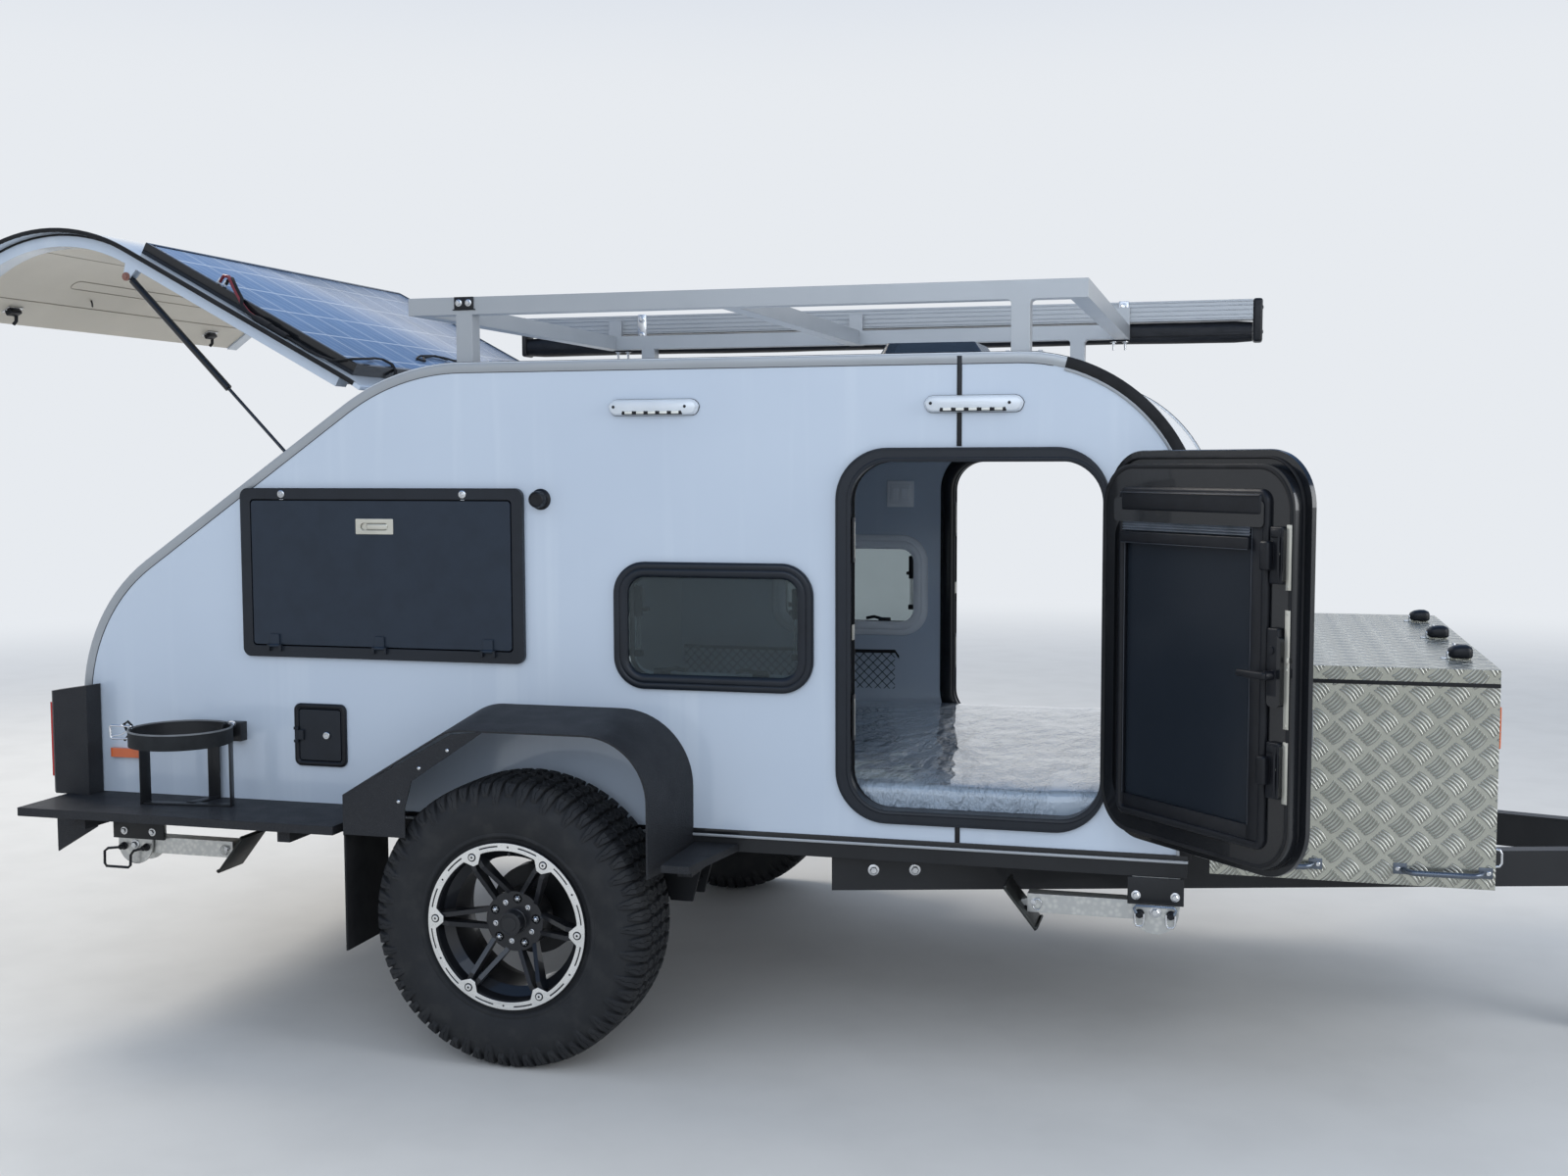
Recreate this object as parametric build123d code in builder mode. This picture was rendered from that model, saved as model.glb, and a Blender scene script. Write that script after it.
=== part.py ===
from build123d import *
import math
import os

os.makedirs("parts", exist_ok=True)

# Teardrop camping trailer, parked on its wheels and jockey wheel, rear lid and doors open.
# Frame: +X forward to the coupling, +Y to the trailer's left, +Z up from the ground.
# Lengths are millimetres, angles are degrees. Names ending in _x are places along the trailer.

# Wheels and axle
axle_x = -770.4
tyre_radius = 401.5
tyre_width = 265
tyre_grip = 216
lug_height = 11
lug_count = 24
wheel_gap = 23
rim_bead_radius = 215.7
rim_half_width = 108
rim_flange = 16
spoke_count = 6
hub_depth = 62

# Body shell
body_half = 853
side_wall = 35
roof_wall = 30
floor_wall = 30
roof_z = 1945
front_x = axle_x + 1800
rear_x = axle_x - 1535
rear_centre_z = 925
rear_radius = 535
rear_lean = 7.3
back_slope = 34.1
hip_radius = 673
nose_radius = 475
chin_radius = 276
nose_turn = 61
seam_x = axle_x + 1194
fit = 0.3
seal = 3

# Chassis
drawbar_low_z = 480
drawbar_tube = 100
tube = 50
drawbar_inset = 31
drawbar_head_half = 84
drawbar_rear_x = axle_x + 839
drawbar_front_x = axle_x + 3400
coupling_reach = 215
chassis_inset = 3
cross_places = (-1450, -900, -300, 560, 1200, 1740)
body_low_z = drawbar_low_z + drawbar_tube + tube

# Doors and windows
door_frame_rear = axle_x + 861
door_frame_front = axle_x + 1589
door_frame_low = 686
door_frame_high = 1699
door_frame_face = 36
door_radius = 140
door_proud = 15
frame_sleeve = 8
door_leaf_overlap = 12
door_open = 133.5
door_skin = 18
door_plug = 30
window_rear = axle_x + 221
window_front = axle_x + 797
window_low = 1030
window_high = 1386
window_radius = 90
window_face = 42

# Hinge knuckles of doors, table and lids: a barrel between two ears that hold its pin
knuckle_pin = 3
knuckle_half = 15
knuckle_ear = 8
door_knuckles = (880, 1515)

# Picnic table and service door on the right side
table_rear = axle_x - 959
table_front = axle_x - 51
table_low = 1089
table_high = 1590
table_face = 33
service_rear = axle_x - 799
service_front = axle_x - 629
service_low = 764
service_high = 950
service_face = 14

# Rear lid, its gas struts and the solar panel on it
hatch_open = 62.5
hinge_turn = 27.7
hatch_skin = 12
hatch_core = 35
hatch_gap = 6
strut_top_closed = (-688, -554.6)
strut_foot = (axle_x - 757, 1604)
strut_tube = 477
strut_radius = 11
rod_radius = 5
strut_inset = 22
strut_eye = 5
solar_start = 40
solar_length = 800
solar_inset = 58
solar_frame = 35

# Mudguards, steps and platforms
guard_width = 287
guard_taper = 6.5
guard_plate = 5
guard_rear_x = axle_x - 515
guard_front_x = axle_x + 449
guard_top_z = 972
guard_knee_z = 762
guard_low_z = 560
flap_low_z = 300
platform_top_z = 652
platform_plate = 25
platform_rear_x = axle_x - 1556
step_top_z = 602

# Roof rack and awning
trim_lap = 8
rack_foot_lip = 10
rack_fillet = 12
rack_top_z = 2138
rack_rear_x = axle_x - 430
rack_front_x = axle_x + 1522
rack_legs = (-254, 1346)
rack_bars = (-405, 536, 1497)
awning_rear_x = axle_x - 800
awning_front_x = axle_x + 1955
awning_top_z = 2221

# Toolbox on the drawbar
toolbox_rear_x = front_x + 50
toolbox_front_x = axle_x + 2548
toolbox_half = 775
toolbox_rim_z = 1102
toolbox_sheet = 3
lid_height = 35
knob_inset = 235

# Stabiliser legs: place along the body, side they point to
stabiliser_pivot_z = 488
stabiliser_inset = 35
stabilisers = (("front", 1716, -1), ("rear", -1370, 1))

# Jockey wheel
jockey_x = axle_x + 3075
jockey_radius = 125
jockey_offset = 45
jockey_travel = 150

rail_top_z = drawbar_low_z + drawbar_tube
floor_top_z = body_low_z + floor_wall
wall_in = body_half - side_wall
track_half = body_half + wheel_gap + tyre_width / 2
chassis_half = body_half - chassis_inset
drawbar_half = chassis_half - drawbar_inset
drawbar_slope = (drawbar_half - drawbar_head_half) / (drawbar_front_x - drawbar_rear_x)
stabiliser_y = chassis_half - stabiliser_inset
solar_half = body_half - solar_inset
rack_half = wall_in - trim_lap - rack_foot_lip - fit
right_face = Plane(origin=(0, -body_half, 0), x_dir=(1, 0, 0), z_dir=(0, -1, 0))


def block(x, y, z, mode=Mode.ADD):
    """Rectangular piece between a low and a high value along each axis."""
    centre = ((x[0] + x[1]) / 2, (y[0] + y[1]) / 2, (z[0] + z[1]) / 2)
    with Locations(centre):
        Box(x[1] - x[0], y[1] - y[0], z[1] - z[0], mode=mode)


def plate(plane, outline, depth, mode=Mode.ADD):
    """Flat piece from a closed outline on a plane, as thick as depth."""
    with BuildSketch(plane) as shape:
        with BuildLine():
            Polyline(*outline, close=True)
        make_face()
    extrude(shape.sketch, amount=depth, mode=mode)


def side_plane(y, towards=-1):
    """Upright plane along the trailer at a given y, its normal to the right or the left."""
    return Plane(origin=(0, y, 0), x_dir=(-towards, 0, 0), z_dir=(0, towards, 0))


def rounded(plane, x, z, radius, depth, mode=Mode.ADD):
    """Rounded rectangle between two values along and two values up, extruded from a plane."""
    with BuildSketch(plane) as shape:
        with Locations(((x[0] + x[1]) / 2, (z[0] + z[1]) / 2)):
            RectangleRounded(x[1] - x[0], z[1] - z[0], radius)
    extrude(shape.sketch, amount=depth, mode=mode)


def cylinder(start, direction, radius, length, mode=Mode.ADD):
    """Round bar from a start point along a direction."""
    with BuildSketch(Plane(origin=start, z_dir=direction)) as shape:
        Circle(radius)
    extrude(shape.sketch, amount=length, mode=mode)


def knuckle_barrel(centre, axis, outer):
    """Moving half of a hinge: a barrel along an axis (unit vector)."""
    start = [c - a * knuckle_half for c, a in zip(centre, axis)]
    cylinder(start, axis, outer, 2 * knuckle_half)


def knuckle_bore(centre, axis):
    """Bore for the pin, through the barrel and what it is fixed to."""
    start = [c - a * (knuckle_half + 1) for c, a in zip(centre, axis)]
    cylinder(start, axis, knuckle_pin + fit, 2 * knuckle_half + 2, Mode.SUBTRACT)


def knuckle_pin_bar(centre, axis):
    """Fixed pin that runs through the barrel into both ears."""
    reach = knuckle_half + knuckle_ear
    start = [c - a * reach for c, a in zip(centre, axis)]
    cylinder(start, axis, knuckle_pin, 2 * reach)


def ear_spans(middle):
    """The two spans along a hinge's axis that its ears take."""
    near = knuckle_half + fit
    return ((middle - near - knuckle_ear, middle - near), (middle + near, middle + near + knuckle_ear))


def on_circle(centre, radius, degrees):
    return (centre[0] + radius * math.cos(math.radians(degrees)),
            centre[1] + radius * math.sin(math.radians(degrees)))


# The side profile: centres of its arcs, and the angles at which they start and end
rear_centre = (rear_x + rear_radius, rear_centre_z)
slope_start = on_circle(rear_centre, rear_radius, 90 + back_slope)
slope_rise = roof_z - hip_radius * (1 - math.cos(math.radians(back_slope))) - slope_start[1]
slope_run = slope_rise / math.tan(math.radians(back_slope))
hip_centre = (slope_start[0] + slope_run + hip_radius * math.sin(math.radians(back_slope)),
              roof_z - hip_radius)
nose_end = 90 - nose_turn
nose_reach = (nose_radius - chin_radius) * math.cos(math.radians(nose_end)) + chin_radius
nose_centre = (front_x - nose_reach, roof_z - nose_radius)
chin_centre = on_circle(nose_centre, nose_radius - chin_radius, nose_end)


def profile_arc(centre, radius, start, end):
    """Arc of the profile, drawn between two angles."""
    points = [on_circle(centre, radius, a) for a in (start, (start + end) / 2, end)]
    ThreePointArc(*points)


def rear_foot(inset, low_z):
    """Point on the leaning rear edge at a height."""
    start = on_circle(rear_centre, rear_radius - inset, 180 + rear_lean)
    drop = start[1] - low_z
    return (start[0] + drop * math.tan(math.radians(rear_lean)), low_z)


def rear_line(inset, low_z, turn):
    """Profile from the rear edge's foot up the back slope, to an angle on the hip."""
    foot = rear_foot(inset, low_z)
    lean = on_circle(rear_centre, rear_radius - inset, 180 + rear_lean)
    Line(foot, lean)
    profile_arc(rear_centre, rear_radius - inset, 180 + rear_lean, 90 + back_slope)
    low = on_circle(rear_centre, rear_radius - inset, 90 + back_slope)
    high = on_circle(hip_centre, hip_radius - inset, 90 + back_slope)
    Line(low, high)
    profile_arc(hip_centre, hip_radius - inset, 90 + back_slope, 90 + turn)


def front_line(inset, low_z, turn):
    """Profile from an angle on the hip along the roof and down the front."""
    if turn > 0:
        profile_arc(hip_centre, hip_radius - inset, 90 + turn, 90)
    Line((hip_centre[0], roof_z - inset), (nose_centre[0], roof_z - inset))
    profile_arc(nose_centre, nose_radius - inset, 90, nose_end)
    profile_arc(chin_centre, chin_radius - inset, nose_end, 0)
    Line((front_x - inset, chin_centre[1]), (front_x - inset, low_z))


def body_face(inset, low_z):
    """Whole side profile as a face, on the plane of the sketch around it."""
    with BuildLine() as border:
        rear_line(inset, low_z, 0)
        front_line(inset, low_z, 0)
        Line((front_x - inset, low_z), rear_foot(inset, low_z))
    make_face(border.edges())


door_rear = door_frame_rear + door_frame_face
door_front = door_frame_front - door_frame_face + 18
door_low = door_frame_low + door_frame_face
door_high = door_frame_high - door_frame_face
door_hole_radius = door_radius - 30
hinge_door = (door_frame_front, -body_half - door_proud - 10)
leaf_edge = 11
anchor_y = body_half - side_wall - strut_inset

# Side walls: each side has a rear and a front sandwich panel that meet at an upright seam


def wall_panels(rear_side):
    """Right-hand wall, rear or front of the seam, before the right side's own openings."""
    far = 5000
    with BuildSketch(right_face) as outline:
        body_face(0, body_low_z)
    extrude(outline.sketch, amount=-side_wall)
    if rear_side:
        block((seam_x - fit / 2, far), (-far, far), (0, far), Mode.SUBTRACT)
    else:
        block((-far, seam_x + fit / 2), (-far, far), (0, far), Mode.SUBTRACT)
    sleeve = frame_sleeve
    rounded(right_face, (door_rear - sleeve, door_front + sleeve), (door_low - sleeve, door_high + sleeve),
            door_hole_radius + sleeve, -side_wall, Mode.SUBTRACT)
    if rear_side:
        window_cut(-side_wall)
        stud = (strut_foot[0], -wall_in, strut_foot[1])
        cylinder(stud, (0, 1, 0), 14, 4)
        cylinder(stud, (0, 1, 0), 6, strut_inset - strut_eye - fit)


def window_cut(depth):
    face = window_face - 18
    rounded(right_face, (window_rear + face, window_front - face), (window_low + face, window_high - face),
            window_radius - face, depth, Mode.SUBTRACT)


with BuildPart() as plain_panel:
    wall_panels(True)

with BuildPart() as side_rear_left:
    mirror(plain_panel.part, about=Plane.XZ)
side_rear_left.part.label = "side_rear_left"
export_step(side_rear_left.part, "parts/side_rear_left.step")

with BuildPart() as side_rear_right:
    add(plain_panel.part)
    liner = 10
    rounded(right_face, (table_rear + table_face - liner, table_front - table_face + liner),
            (table_low + table_face - liner, table_high - table_face + liner), 18, -side_wall, Mode.SUBTRACT)
    rounded(right_face, (service_rear + service_face - 4, service_front - service_face + 4),
            (service_low + service_face - 4, service_high - service_face + 4), 14, -side_wall, Mode.SUBTRACT)
side_rear_right.part.label = "side_rear_right"
export_step(side_rear_right.part, "parts/side_rear_right.step")

with BuildPart() as side_front_panels:
    wall_panels(False)
    mirror(side_front_panels.part, about=Plane.XZ)
side_front_panels.part.label = "side_front_panels"
export_step(side_front_panels.part, "parts/side_front_panels.step")

# Floor between the walls, and the roof panel that runs from the lid's hinge to the front's foot
with BuildPart() as floor_panel:
    block((rear_foot(0, body_low_z)[0] + 20, front_x - roof_wall), (-wall_in, wall_in), (body_low_z, floor_top_z))
floor_panel.part.label = "floor_panel"
export_step(floor_panel.part, "parts/floor_panel.step")

hinge_radius = hip_radius + seal + hatch_skin / 2
hinge = on_circle(hip_centre, hinge_radius, 90 + hinge_turn)
hinge_barrel = 6
hinge_room = math.degrees((hinge_barrel + 3) / hip_radius)

with BuildPart() as roof_panel:
    with BuildSketch(Plane.XZ.offset(-wall_in)) as roof_outline:
        with BuildLine():
            front_line(0, body_low_z, hinge_turn - hinge_room)
            Line((front_x, body_low_z), (front_x - roof_wall, body_low_z))
            front_line(roof_wall, body_low_z, hinge_turn - hinge_room)
            Line(on_circle(hip_centre, hip_radius - roof_wall, 90 + hinge_turn - hinge_room),
                 on_circle(hip_centre, hip_radius, 90 + hinge_turn - hinge_room))
        make_face()
    extrude(roof_outline.sketch, amount=2 * wall_in)
roof_panel.part.label = "roof_panel"
export_step(roof_panel.part, "parts/roof_panel.step")

# Aluminium angle along the roof's edges, and the lid's hinge barrel at the roof's end
trim_wide = 24
trim_thick = 3
with BuildPart() as edge_trims:
    for side in (-1, 1):
        inner = wall_in - trim_lap
        with BuildSketch(Plane.XZ.offset(-body_half if side > 0 else inner)) as trim_outline:
            with BuildLine():
                front_line(-trim_thick, body_low_z, hinge_turn - hinge_room)
                Line((front_x + trim_thick, body_low_z), (front_x, body_low_z))
                front_line(0, body_low_z, hinge_turn - hinge_room)
                Line(on_circle(hip_centre, hip_radius, 90 + hinge_turn - hinge_room),
                     on_circle(hip_centre, hip_radius + trim_thick, 90 + hinge_turn - hinge_room))
            make_face()
        extrude(trim_outline.sketch, amount=body_half - inner)
    with BuildSketch(Plane.XZ.offset(-wall_in)) as barrel:
        with Locations(hinge):
            Circle(hinge_barrel)
    extrude(barrel.sketch, amount=2 * wall_in)
    leaf_turn = hinge_turn - hinge_room - 4
    with BuildSketch(Plane.XZ.offset(-wall_in)) as hinge_leaf:
        with BuildLine():
            profile_arc(hip_centre, hip_radius + trim_thick + 1, 90 + hinge_turn, 90 + leaf_turn)
            profile_arc(hip_centre, hip_radius + fit, 90 + hinge_turn, 90 + leaf_turn)
            for turn in (hinge_turn, leaf_turn):
                Line(on_circle(hip_centre, hip_radius + trim_thick + 1, 90 + turn),
                     on_circle(hip_centre, hip_radius + fit, 90 + turn))
        make_face()
    extrude(hinge_leaf.sketch, amount=2 * wall_in)
edge_trims.part.label = "edge_trims"
export_step(edge_trims.part, "parts/edge_trims.step")

# Galley: a bulkhead behind the bed, a bench with drawer fronts and a shelf above it
bulkhead_x = axle_x - 150
bench_z = 985
bench_rear_x = rear_x + 130
panel = 16
with BuildPart() as galley_cabinet:
    block((bulkhead_x - panel, bulkhead_x), (-wall_in + fit, wall_in - fit),
          (floor_top_z + fit, roof_z - roof_wall - 8))
    bench_half = wall_in - fit
    block((bench_rear_x, bulkhead_x - panel), (-bench_half, bench_half), (bench_z - 25, bench_z))
    block((bench_rear_x + 20, bench_rear_x + 20 + panel), (-bench_half, bench_half),
          (floor_top_z + fit, bench_z - 25))
    shelf_depth = 330
    shelf_low_z = 1440
    shelf_high_z = 1706
    shelf_half = wall_in - 70
    shelf_rear = bulkhead_x - panel - shelf_depth
    for low in (shelf_low_z, shelf_high_z - panel):
        block((shelf_rear, bulkhead_x - panel), (-shelf_half, shelf_half), (low, low + panel))
    for y in (-shelf_half + panel / 2, -shelf_half / 3, shelf_half / 3, shelf_half - panel / 2):
        block((shelf_rear, bulkhead_x - panel), (y - panel / 2, y + panel / 2),
              (shelf_low_z, shelf_high_z))
    drawer_gap = 4
    drawer_wide = 2 * bench_half / 3
    for column in range(3):
        for low, high in ((floor_top_z + 30, 800), (810, bench_z - 35)):
            left = -bench_half + column * drawer_wide
            block((bench_rear_x + 8, bench_rear_x + 20), (left + drawer_gap, left + drawer_wide - drawer_gap),
                  (low, high))
galley_cabinet.part.label = "galley_cabinet"
export_step(galley_cabinet.part, "parts/galley_cabinet.step")

# Mattress, a soft closed solid on the floor
mattress_top_z = 792
with BuildPart() as mattress:
    rounded(Plane.XY.offset(floor_top_z + fit), (bulkhead_x + 6, front_x - roof_wall - 8),
            (-wall_in + 8, wall_in - 8), 40, mattress_top_z - floor_top_z - fit)
mattress.part.label = "mattress"
export_step(mattress.part, "parts/mattress.step")

# Black window frames, inside and outside of the wall, and their acrylic panes
with BuildPart() as window_frames:
    face = window_face - 18
    rounded(right_face, (window_rear, window_front), (window_low, window_high), window_radius, 12)
    rounded(right_face, (window_rear + face + fit, window_front - face - fit),
            (window_low + face + fit, window_high - face - fit), window_radius - face, -side_wall)
    inside_face = side_plane(-wall_in, 1)
    rounded(inside_face, (-window_front, -window_rear), (window_low, window_high), window_radius, 10)
    rounded(right_face.offset(12), (window_rear + window_face, window_front - window_face),
            (window_low + window_face - 7, window_high - window_face + 7), window_radius - window_face + 7,
            -side_wall - 60, Mode.SUBTRACT)
    mirror(window_frames.part, about=Plane.XZ)
window_frames.part.label = "window_frames"
export_step(window_frames.part, "parts/window_frames.step")

with BuildPart() as window_panes:
    rounded(right_face.offset(4), (window_rear + window_face + fit, window_front - window_face - fit),
            (window_low + window_face - 7 + fit, window_high - window_face + 7 - fit),
            window_radius - window_face + 7, -12)
    mirror(window_panes.part, about=Plane.XZ)
window_panes.part.label = "window_panes"
export_step(window_panes.part, "parts/window_panes.step")

# Door frames: a proud flange on the wall and a sleeve through it
with BuildPart() as door_frames:
    rounded(right_face, (door_frame_rear, door_frame_front), (door_frame_low, door_frame_high), door_radius,
            door_proud)
    sleeve = frame_sleeve - fit
    rounded(right_face, (door_rear - sleeve, door_front + sleeve), (door_low - sleeve, door_high + sleeve),
            door_hole_radius + sleeve, -side_wall)
    rounded(right_face.offset(door_proud), (door_rear, door_front), (door_low, door_high), door_hole_radius,
            -side_wall - door_proud, Mode.SUBTRACT)
    for z in door_knuckles:
        for span in ear_spans(z):
            block((hinge_door[0] - 6, hinge_door[0] + 5), (hinge_door[1] - 5, -body_half - door_proud), span)
        knuckle_pin_bar((hinge_door[0], hinge_door[1], z), (0, 0, 1))
    mirror(door_frames.part, about=Plane.XZ)
door_frames.part.label = "door_frames"
export_step(door_frames.part, "parts/door_frames.step")

# Doors: a leaf with a window, swung about the frame's front edge, in its own turned plane
leaf_low = door_low - door_leaf_overlap
leaf_high = door_high + door_leaf_overlap + 12
leaf_width = hinge_door[0] - leaf_edge - (door_rear - door_leaf_overlap)
plug_gap = 8


def door_plane(out):
    """Plane of a right-hand door's outer face, moved outwards, in its open place."""
    turn = math.radians(door_open)
    normal = (math.sin(turn), -math.cos(turn), 0)
    x_dir = (math.cos(turn), math.sin(turn), 0)
    start = (hinge_door[0] + normal[0] * out, hinge_door[1] + normal[1] * out, 0)
    return Plane(origin=start, x_dir=x_dir, z_dir=normal)


leaf_x = (-leaf_edge - leaf_width, -leaf_edge)
seat = hinge_door[1] + body_half + door_proud + fit
skin_out = -seat
plug_x = (door_rear - hinge_door[0] + plug_gap, door_front - hinge_door[0] - plug_gap)
plug_z = (door_low + plug_gap, door_high - plug_gap)
pane_x = (plug_x[0] + 92, plug_x[1] - 66)
pane_z = (plug_z[0] + 95, plug_z[1] - 150)

with BuildPart() as door_leaf_right:
    outer = door_plane(seat)
    rounded(outer, leaf_x, (leaf_low, leaf_high), door_radius - 12, door_skin)
    outwards = Axis((0, 0, 0), outer.z_dir)
    chamfer(door_leaf_right.faces().sort_by(outwards)[-1].edges(), 5)
    rounded(outer, plug_x, plug_z, door_hole_radius - plug_gap, -door_plug)
    rounded(door_plane(60), pane_x, pane_z, 45, -120, Mode.SUBTRACT)
    # Recess around the window on the inner face, and the blind's cassette above it
    inner = door_plane(seat - door_plug)
    rounded(inner, (pane_x[0] - 22, pane_x[1] + 22), (pane_z[0] - 22, pane_z[1] + 22), 55, 10, Mode.SUBTRACT)
    rounded(inner, (pane_x[0] - 10, pane_x[1] + 10), (pane_z[1] + 8, pane_z[1] + 68), 12, -14)
    # Latches and the handle near the free edge
    latch_x = (plug_x[0] + 22, plug_x[0] + 62)
    for centre_z in (plug_z[0] + 238, plug_z[1] - 202):
        rounded(inner, latch_x, (centre_z - 62, centre_z + 62), 10, -12)
    handle_z = (plug_z[0] + plug_z[1]) / 2
    rounded(inner, latch_x, (handle_z - 80, handle_z + 80), 12, -16)
    for z in door_knuckles:
        tongue = [(-leaf_edge - 3, z - knuckle_half), (-leaf_edge - 3, z + knuckle_half), (0, z + knuckle_half),
                  (0, z - knuckle_half)]
        plate(door_plane(-3), tongue, 6)
        knuckle_barrel((hinge_door[0], hinge_door[1], z), (0, 0, 1), 5.5)
        knuckle_bore((hinge_door[0], hinge_door[1], z), (0, 0, 1))
door_leaf_right.part.label = "door_leaf_right"
export_step(door_leaf_right.part, "parts/door_leaf_right.step")

with BuildPart() as door_pane_right:
    rounded(door_plane(seat + 8), (pane_x[0] + fit, pane_x[1] - fit), (pane_z[0] + fit, pane_z[1] - fit), 44, -8)
door_pane_right.part.label = "door_pane_right"
export_step(door_pane_right.part, "parts/door_pane_right.step")

for whole, name in ((door_leaf_right, "door_leaf_left"), (door_pane_right, "door_pane_left")):
    with BuildPart() as door_copy:
        mirror(whole.part, about=Plane.XZ)
    door_copy.part.label = name
    export_step(door_copy.part, "parts/" + name + ".step")

# Picnic table: frame with a shallow tray behind it, and the table panel that closes it
table_out = 16
tray = 3
table_hinge = (-body_half - table_out - 6, table_low + table_face + 1)
table_knuckles = [table_rear + (table_front - table_rear) * share for share in (0.12, 0.5, 0.88)]
service_hinge = (service_rear + service_face - 3, -body_half - 8 - 5)
service_z = (service_low + service_high) / 2
with BuildPart() as side_hatch_frames:
    rounded(right_face, (table_rear, table_front), (table_low, table_high), 25, table_out)
    liner_gap = 10 - fit
    rounded(right_face, (table_rear + table_face - liner_gap, table_front - table_face + liner_gap),
            (table_low + table_face - liner_gap, table_high - table_face + liner_gap), 18, -side_wall)
    rounded(right_face.offset(table_out), (table_rear + table_face, table_front - table_face),
            (table_low + table_face, table_high - table_face), 12, -side_wall - table_out + tray, Mode.SUBTRACT)
    rounded(right_face, (service_rear, service_front), (service_low, service_high), 20, 8)
    rounded(right_face, (service_rear + service_face - 4 + fit, service_front - service_face + 4 - fit),
            (service_low + service_face - 4 + fit, service_high - service_face + 4 - fit), 14, -70)
    rounded(right_face.offset(8), (service_rear + service_face, service_front - service_face),
            (service_low + service_face, service_high - service_face), 10, -76, Mode.SUBTRACT)
    for x in table_knuckles:
        for span in ear_spans(x):
            block(span, (table_hinge[0] - 4.5, -body_half - table_out), (table_hinge[1] - 16, table_hinge[1]))
            cylinder((span[0], table_hinge[0], table_hinge[1]), (1, 0, 0), 5, knuckle_ear)
        knuckle_pin_bar((x, table_hinge[0], table_hinge[1]), (1, 0, 0))
    for span in ear_spans(service_z):
        block((service_hinge[0] - 9, service_hinge[0] + 5), (service_hinge[1] - 4, -body_half - 8), span)
    knuckle_pin_bar((service_hinge[0], service_hinge[1], service_z), (0, 0, 1))
side_hatch_frames.part.label = "side_hatch_frames"
export_step(side_hatch_frames.part, "parts/side_hatch_frames.step")

table_gap = 4
with BuildPart() as table_panel:
    rounded(right_face.offset(table_out), (table_rear + table_face + table_gap, table_front - table_face - table_gap),
            (table_low + table_face + table_gap, table_high - table_face - table_gap), 10, -24)
    rounded(right_face.offset(table_out), (table_rear + 382, table_rear + 503), (table_high - 134, table_high - 89),
            8, -6, Mode.SUBTRACT)
    for x in table_knuckles:
        block((x - knuckle_half, x + knuckle_half), (table_hinge[0], -body_half - table_out),
              (table_hinge[1], table_hinge[1] + 34))
        knuckle_barrel((x, table_hinge[0], table_hinge[1]), (1, 0, 0), 5)
        knuckle_bore((x, table_hinge[0], table_hinge[1]), (1, 0, 0))
table_panel.part.label = "table_panel"
export_step(table_panel.part, "parts/table_panel.step")

with BuildPart() as service_door:
    rounded(right_face.offset(8), (service_rear + service_face + 3, service_front - service_face - 3),
            (service_low + service_face + 3, service_high - service_face - 3), 8, -14)
    cylinder((service_front - service_face - 48, -body_half - 8, service_z), (0, -1, 0), 9, 3)
    block((service_hinge[0], service_hinge[0] + 22), (service_hinge[1] - 2, -body_half - 8),
          (service_z - knuckle_half, service_z + knuckle_half))
    knuckle_barrel((service_hinge[0], service_hinge[1], service_z), (0, 0, 1), 4.5)
    knuckle_bore((service_hinge[0], service_hinge[1], service_z), (0, 0, 1))
service_door.part.label = "service_door"
export_step(service_door.part, "parts/service_door.step")

# Small fixed fittings on the walls: lamp housings, markers and catches
lamps = ((211, 474), (1101, 1364))
lamp_z = (1792, 1836)
with BuildPart() as lamp_housings:
    for low, high in lamps:
        with BuildSketch(right_face) as lamp_outline:
            with Locations((axle_x + (low + high) / 2, (lamp_z[0] + lamp_z[1]) / 2)):
                RectangleRounded(high - low, lamp_z[1] - lamp_z[0], 14)
        extrude(lamp_outline.sketch, amount=20, taper=12)
        block((axle_x + low + 34, axle_x + high - 34), (-body_half - 22, -body_half - 14),
              (lamp_z[0] + 2, lamp_z[0] + 13), Mode.SUBTRACT)
    mirror(lamp_housings.part, about=Plane.XZ)
lamp_housings.part.label = "lamp_housings"
export_step(lamp_housings.part, "parts/lamp_housings.step")

# Rear lid, drawn closed on a plane that is turned to its open place about the hinge
turn = math.radians(hatch_open)


def hatch_plane(y):
    """Plane along the lid at a distance to the left; its origin lies on the hinge's axis."""
    return Plane(origin=(hinge[0], y, hinge[1]), x_dir=(math.cos(turn), 0, -math.sin(turn)), z_dir=(0, -1, 0))


def from_hinge(point):
    return (point[0] - hinge[0], point[1] - hinge[1])


def hinged_arc(centre, radius, start, end):
    points = [from_hinge(on_circle(centre, radius, a)) for a in (start, (start + end) / 2, end)]
    ThreePointArc(*points)


hatch_low_z = body_low_z + 30


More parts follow.
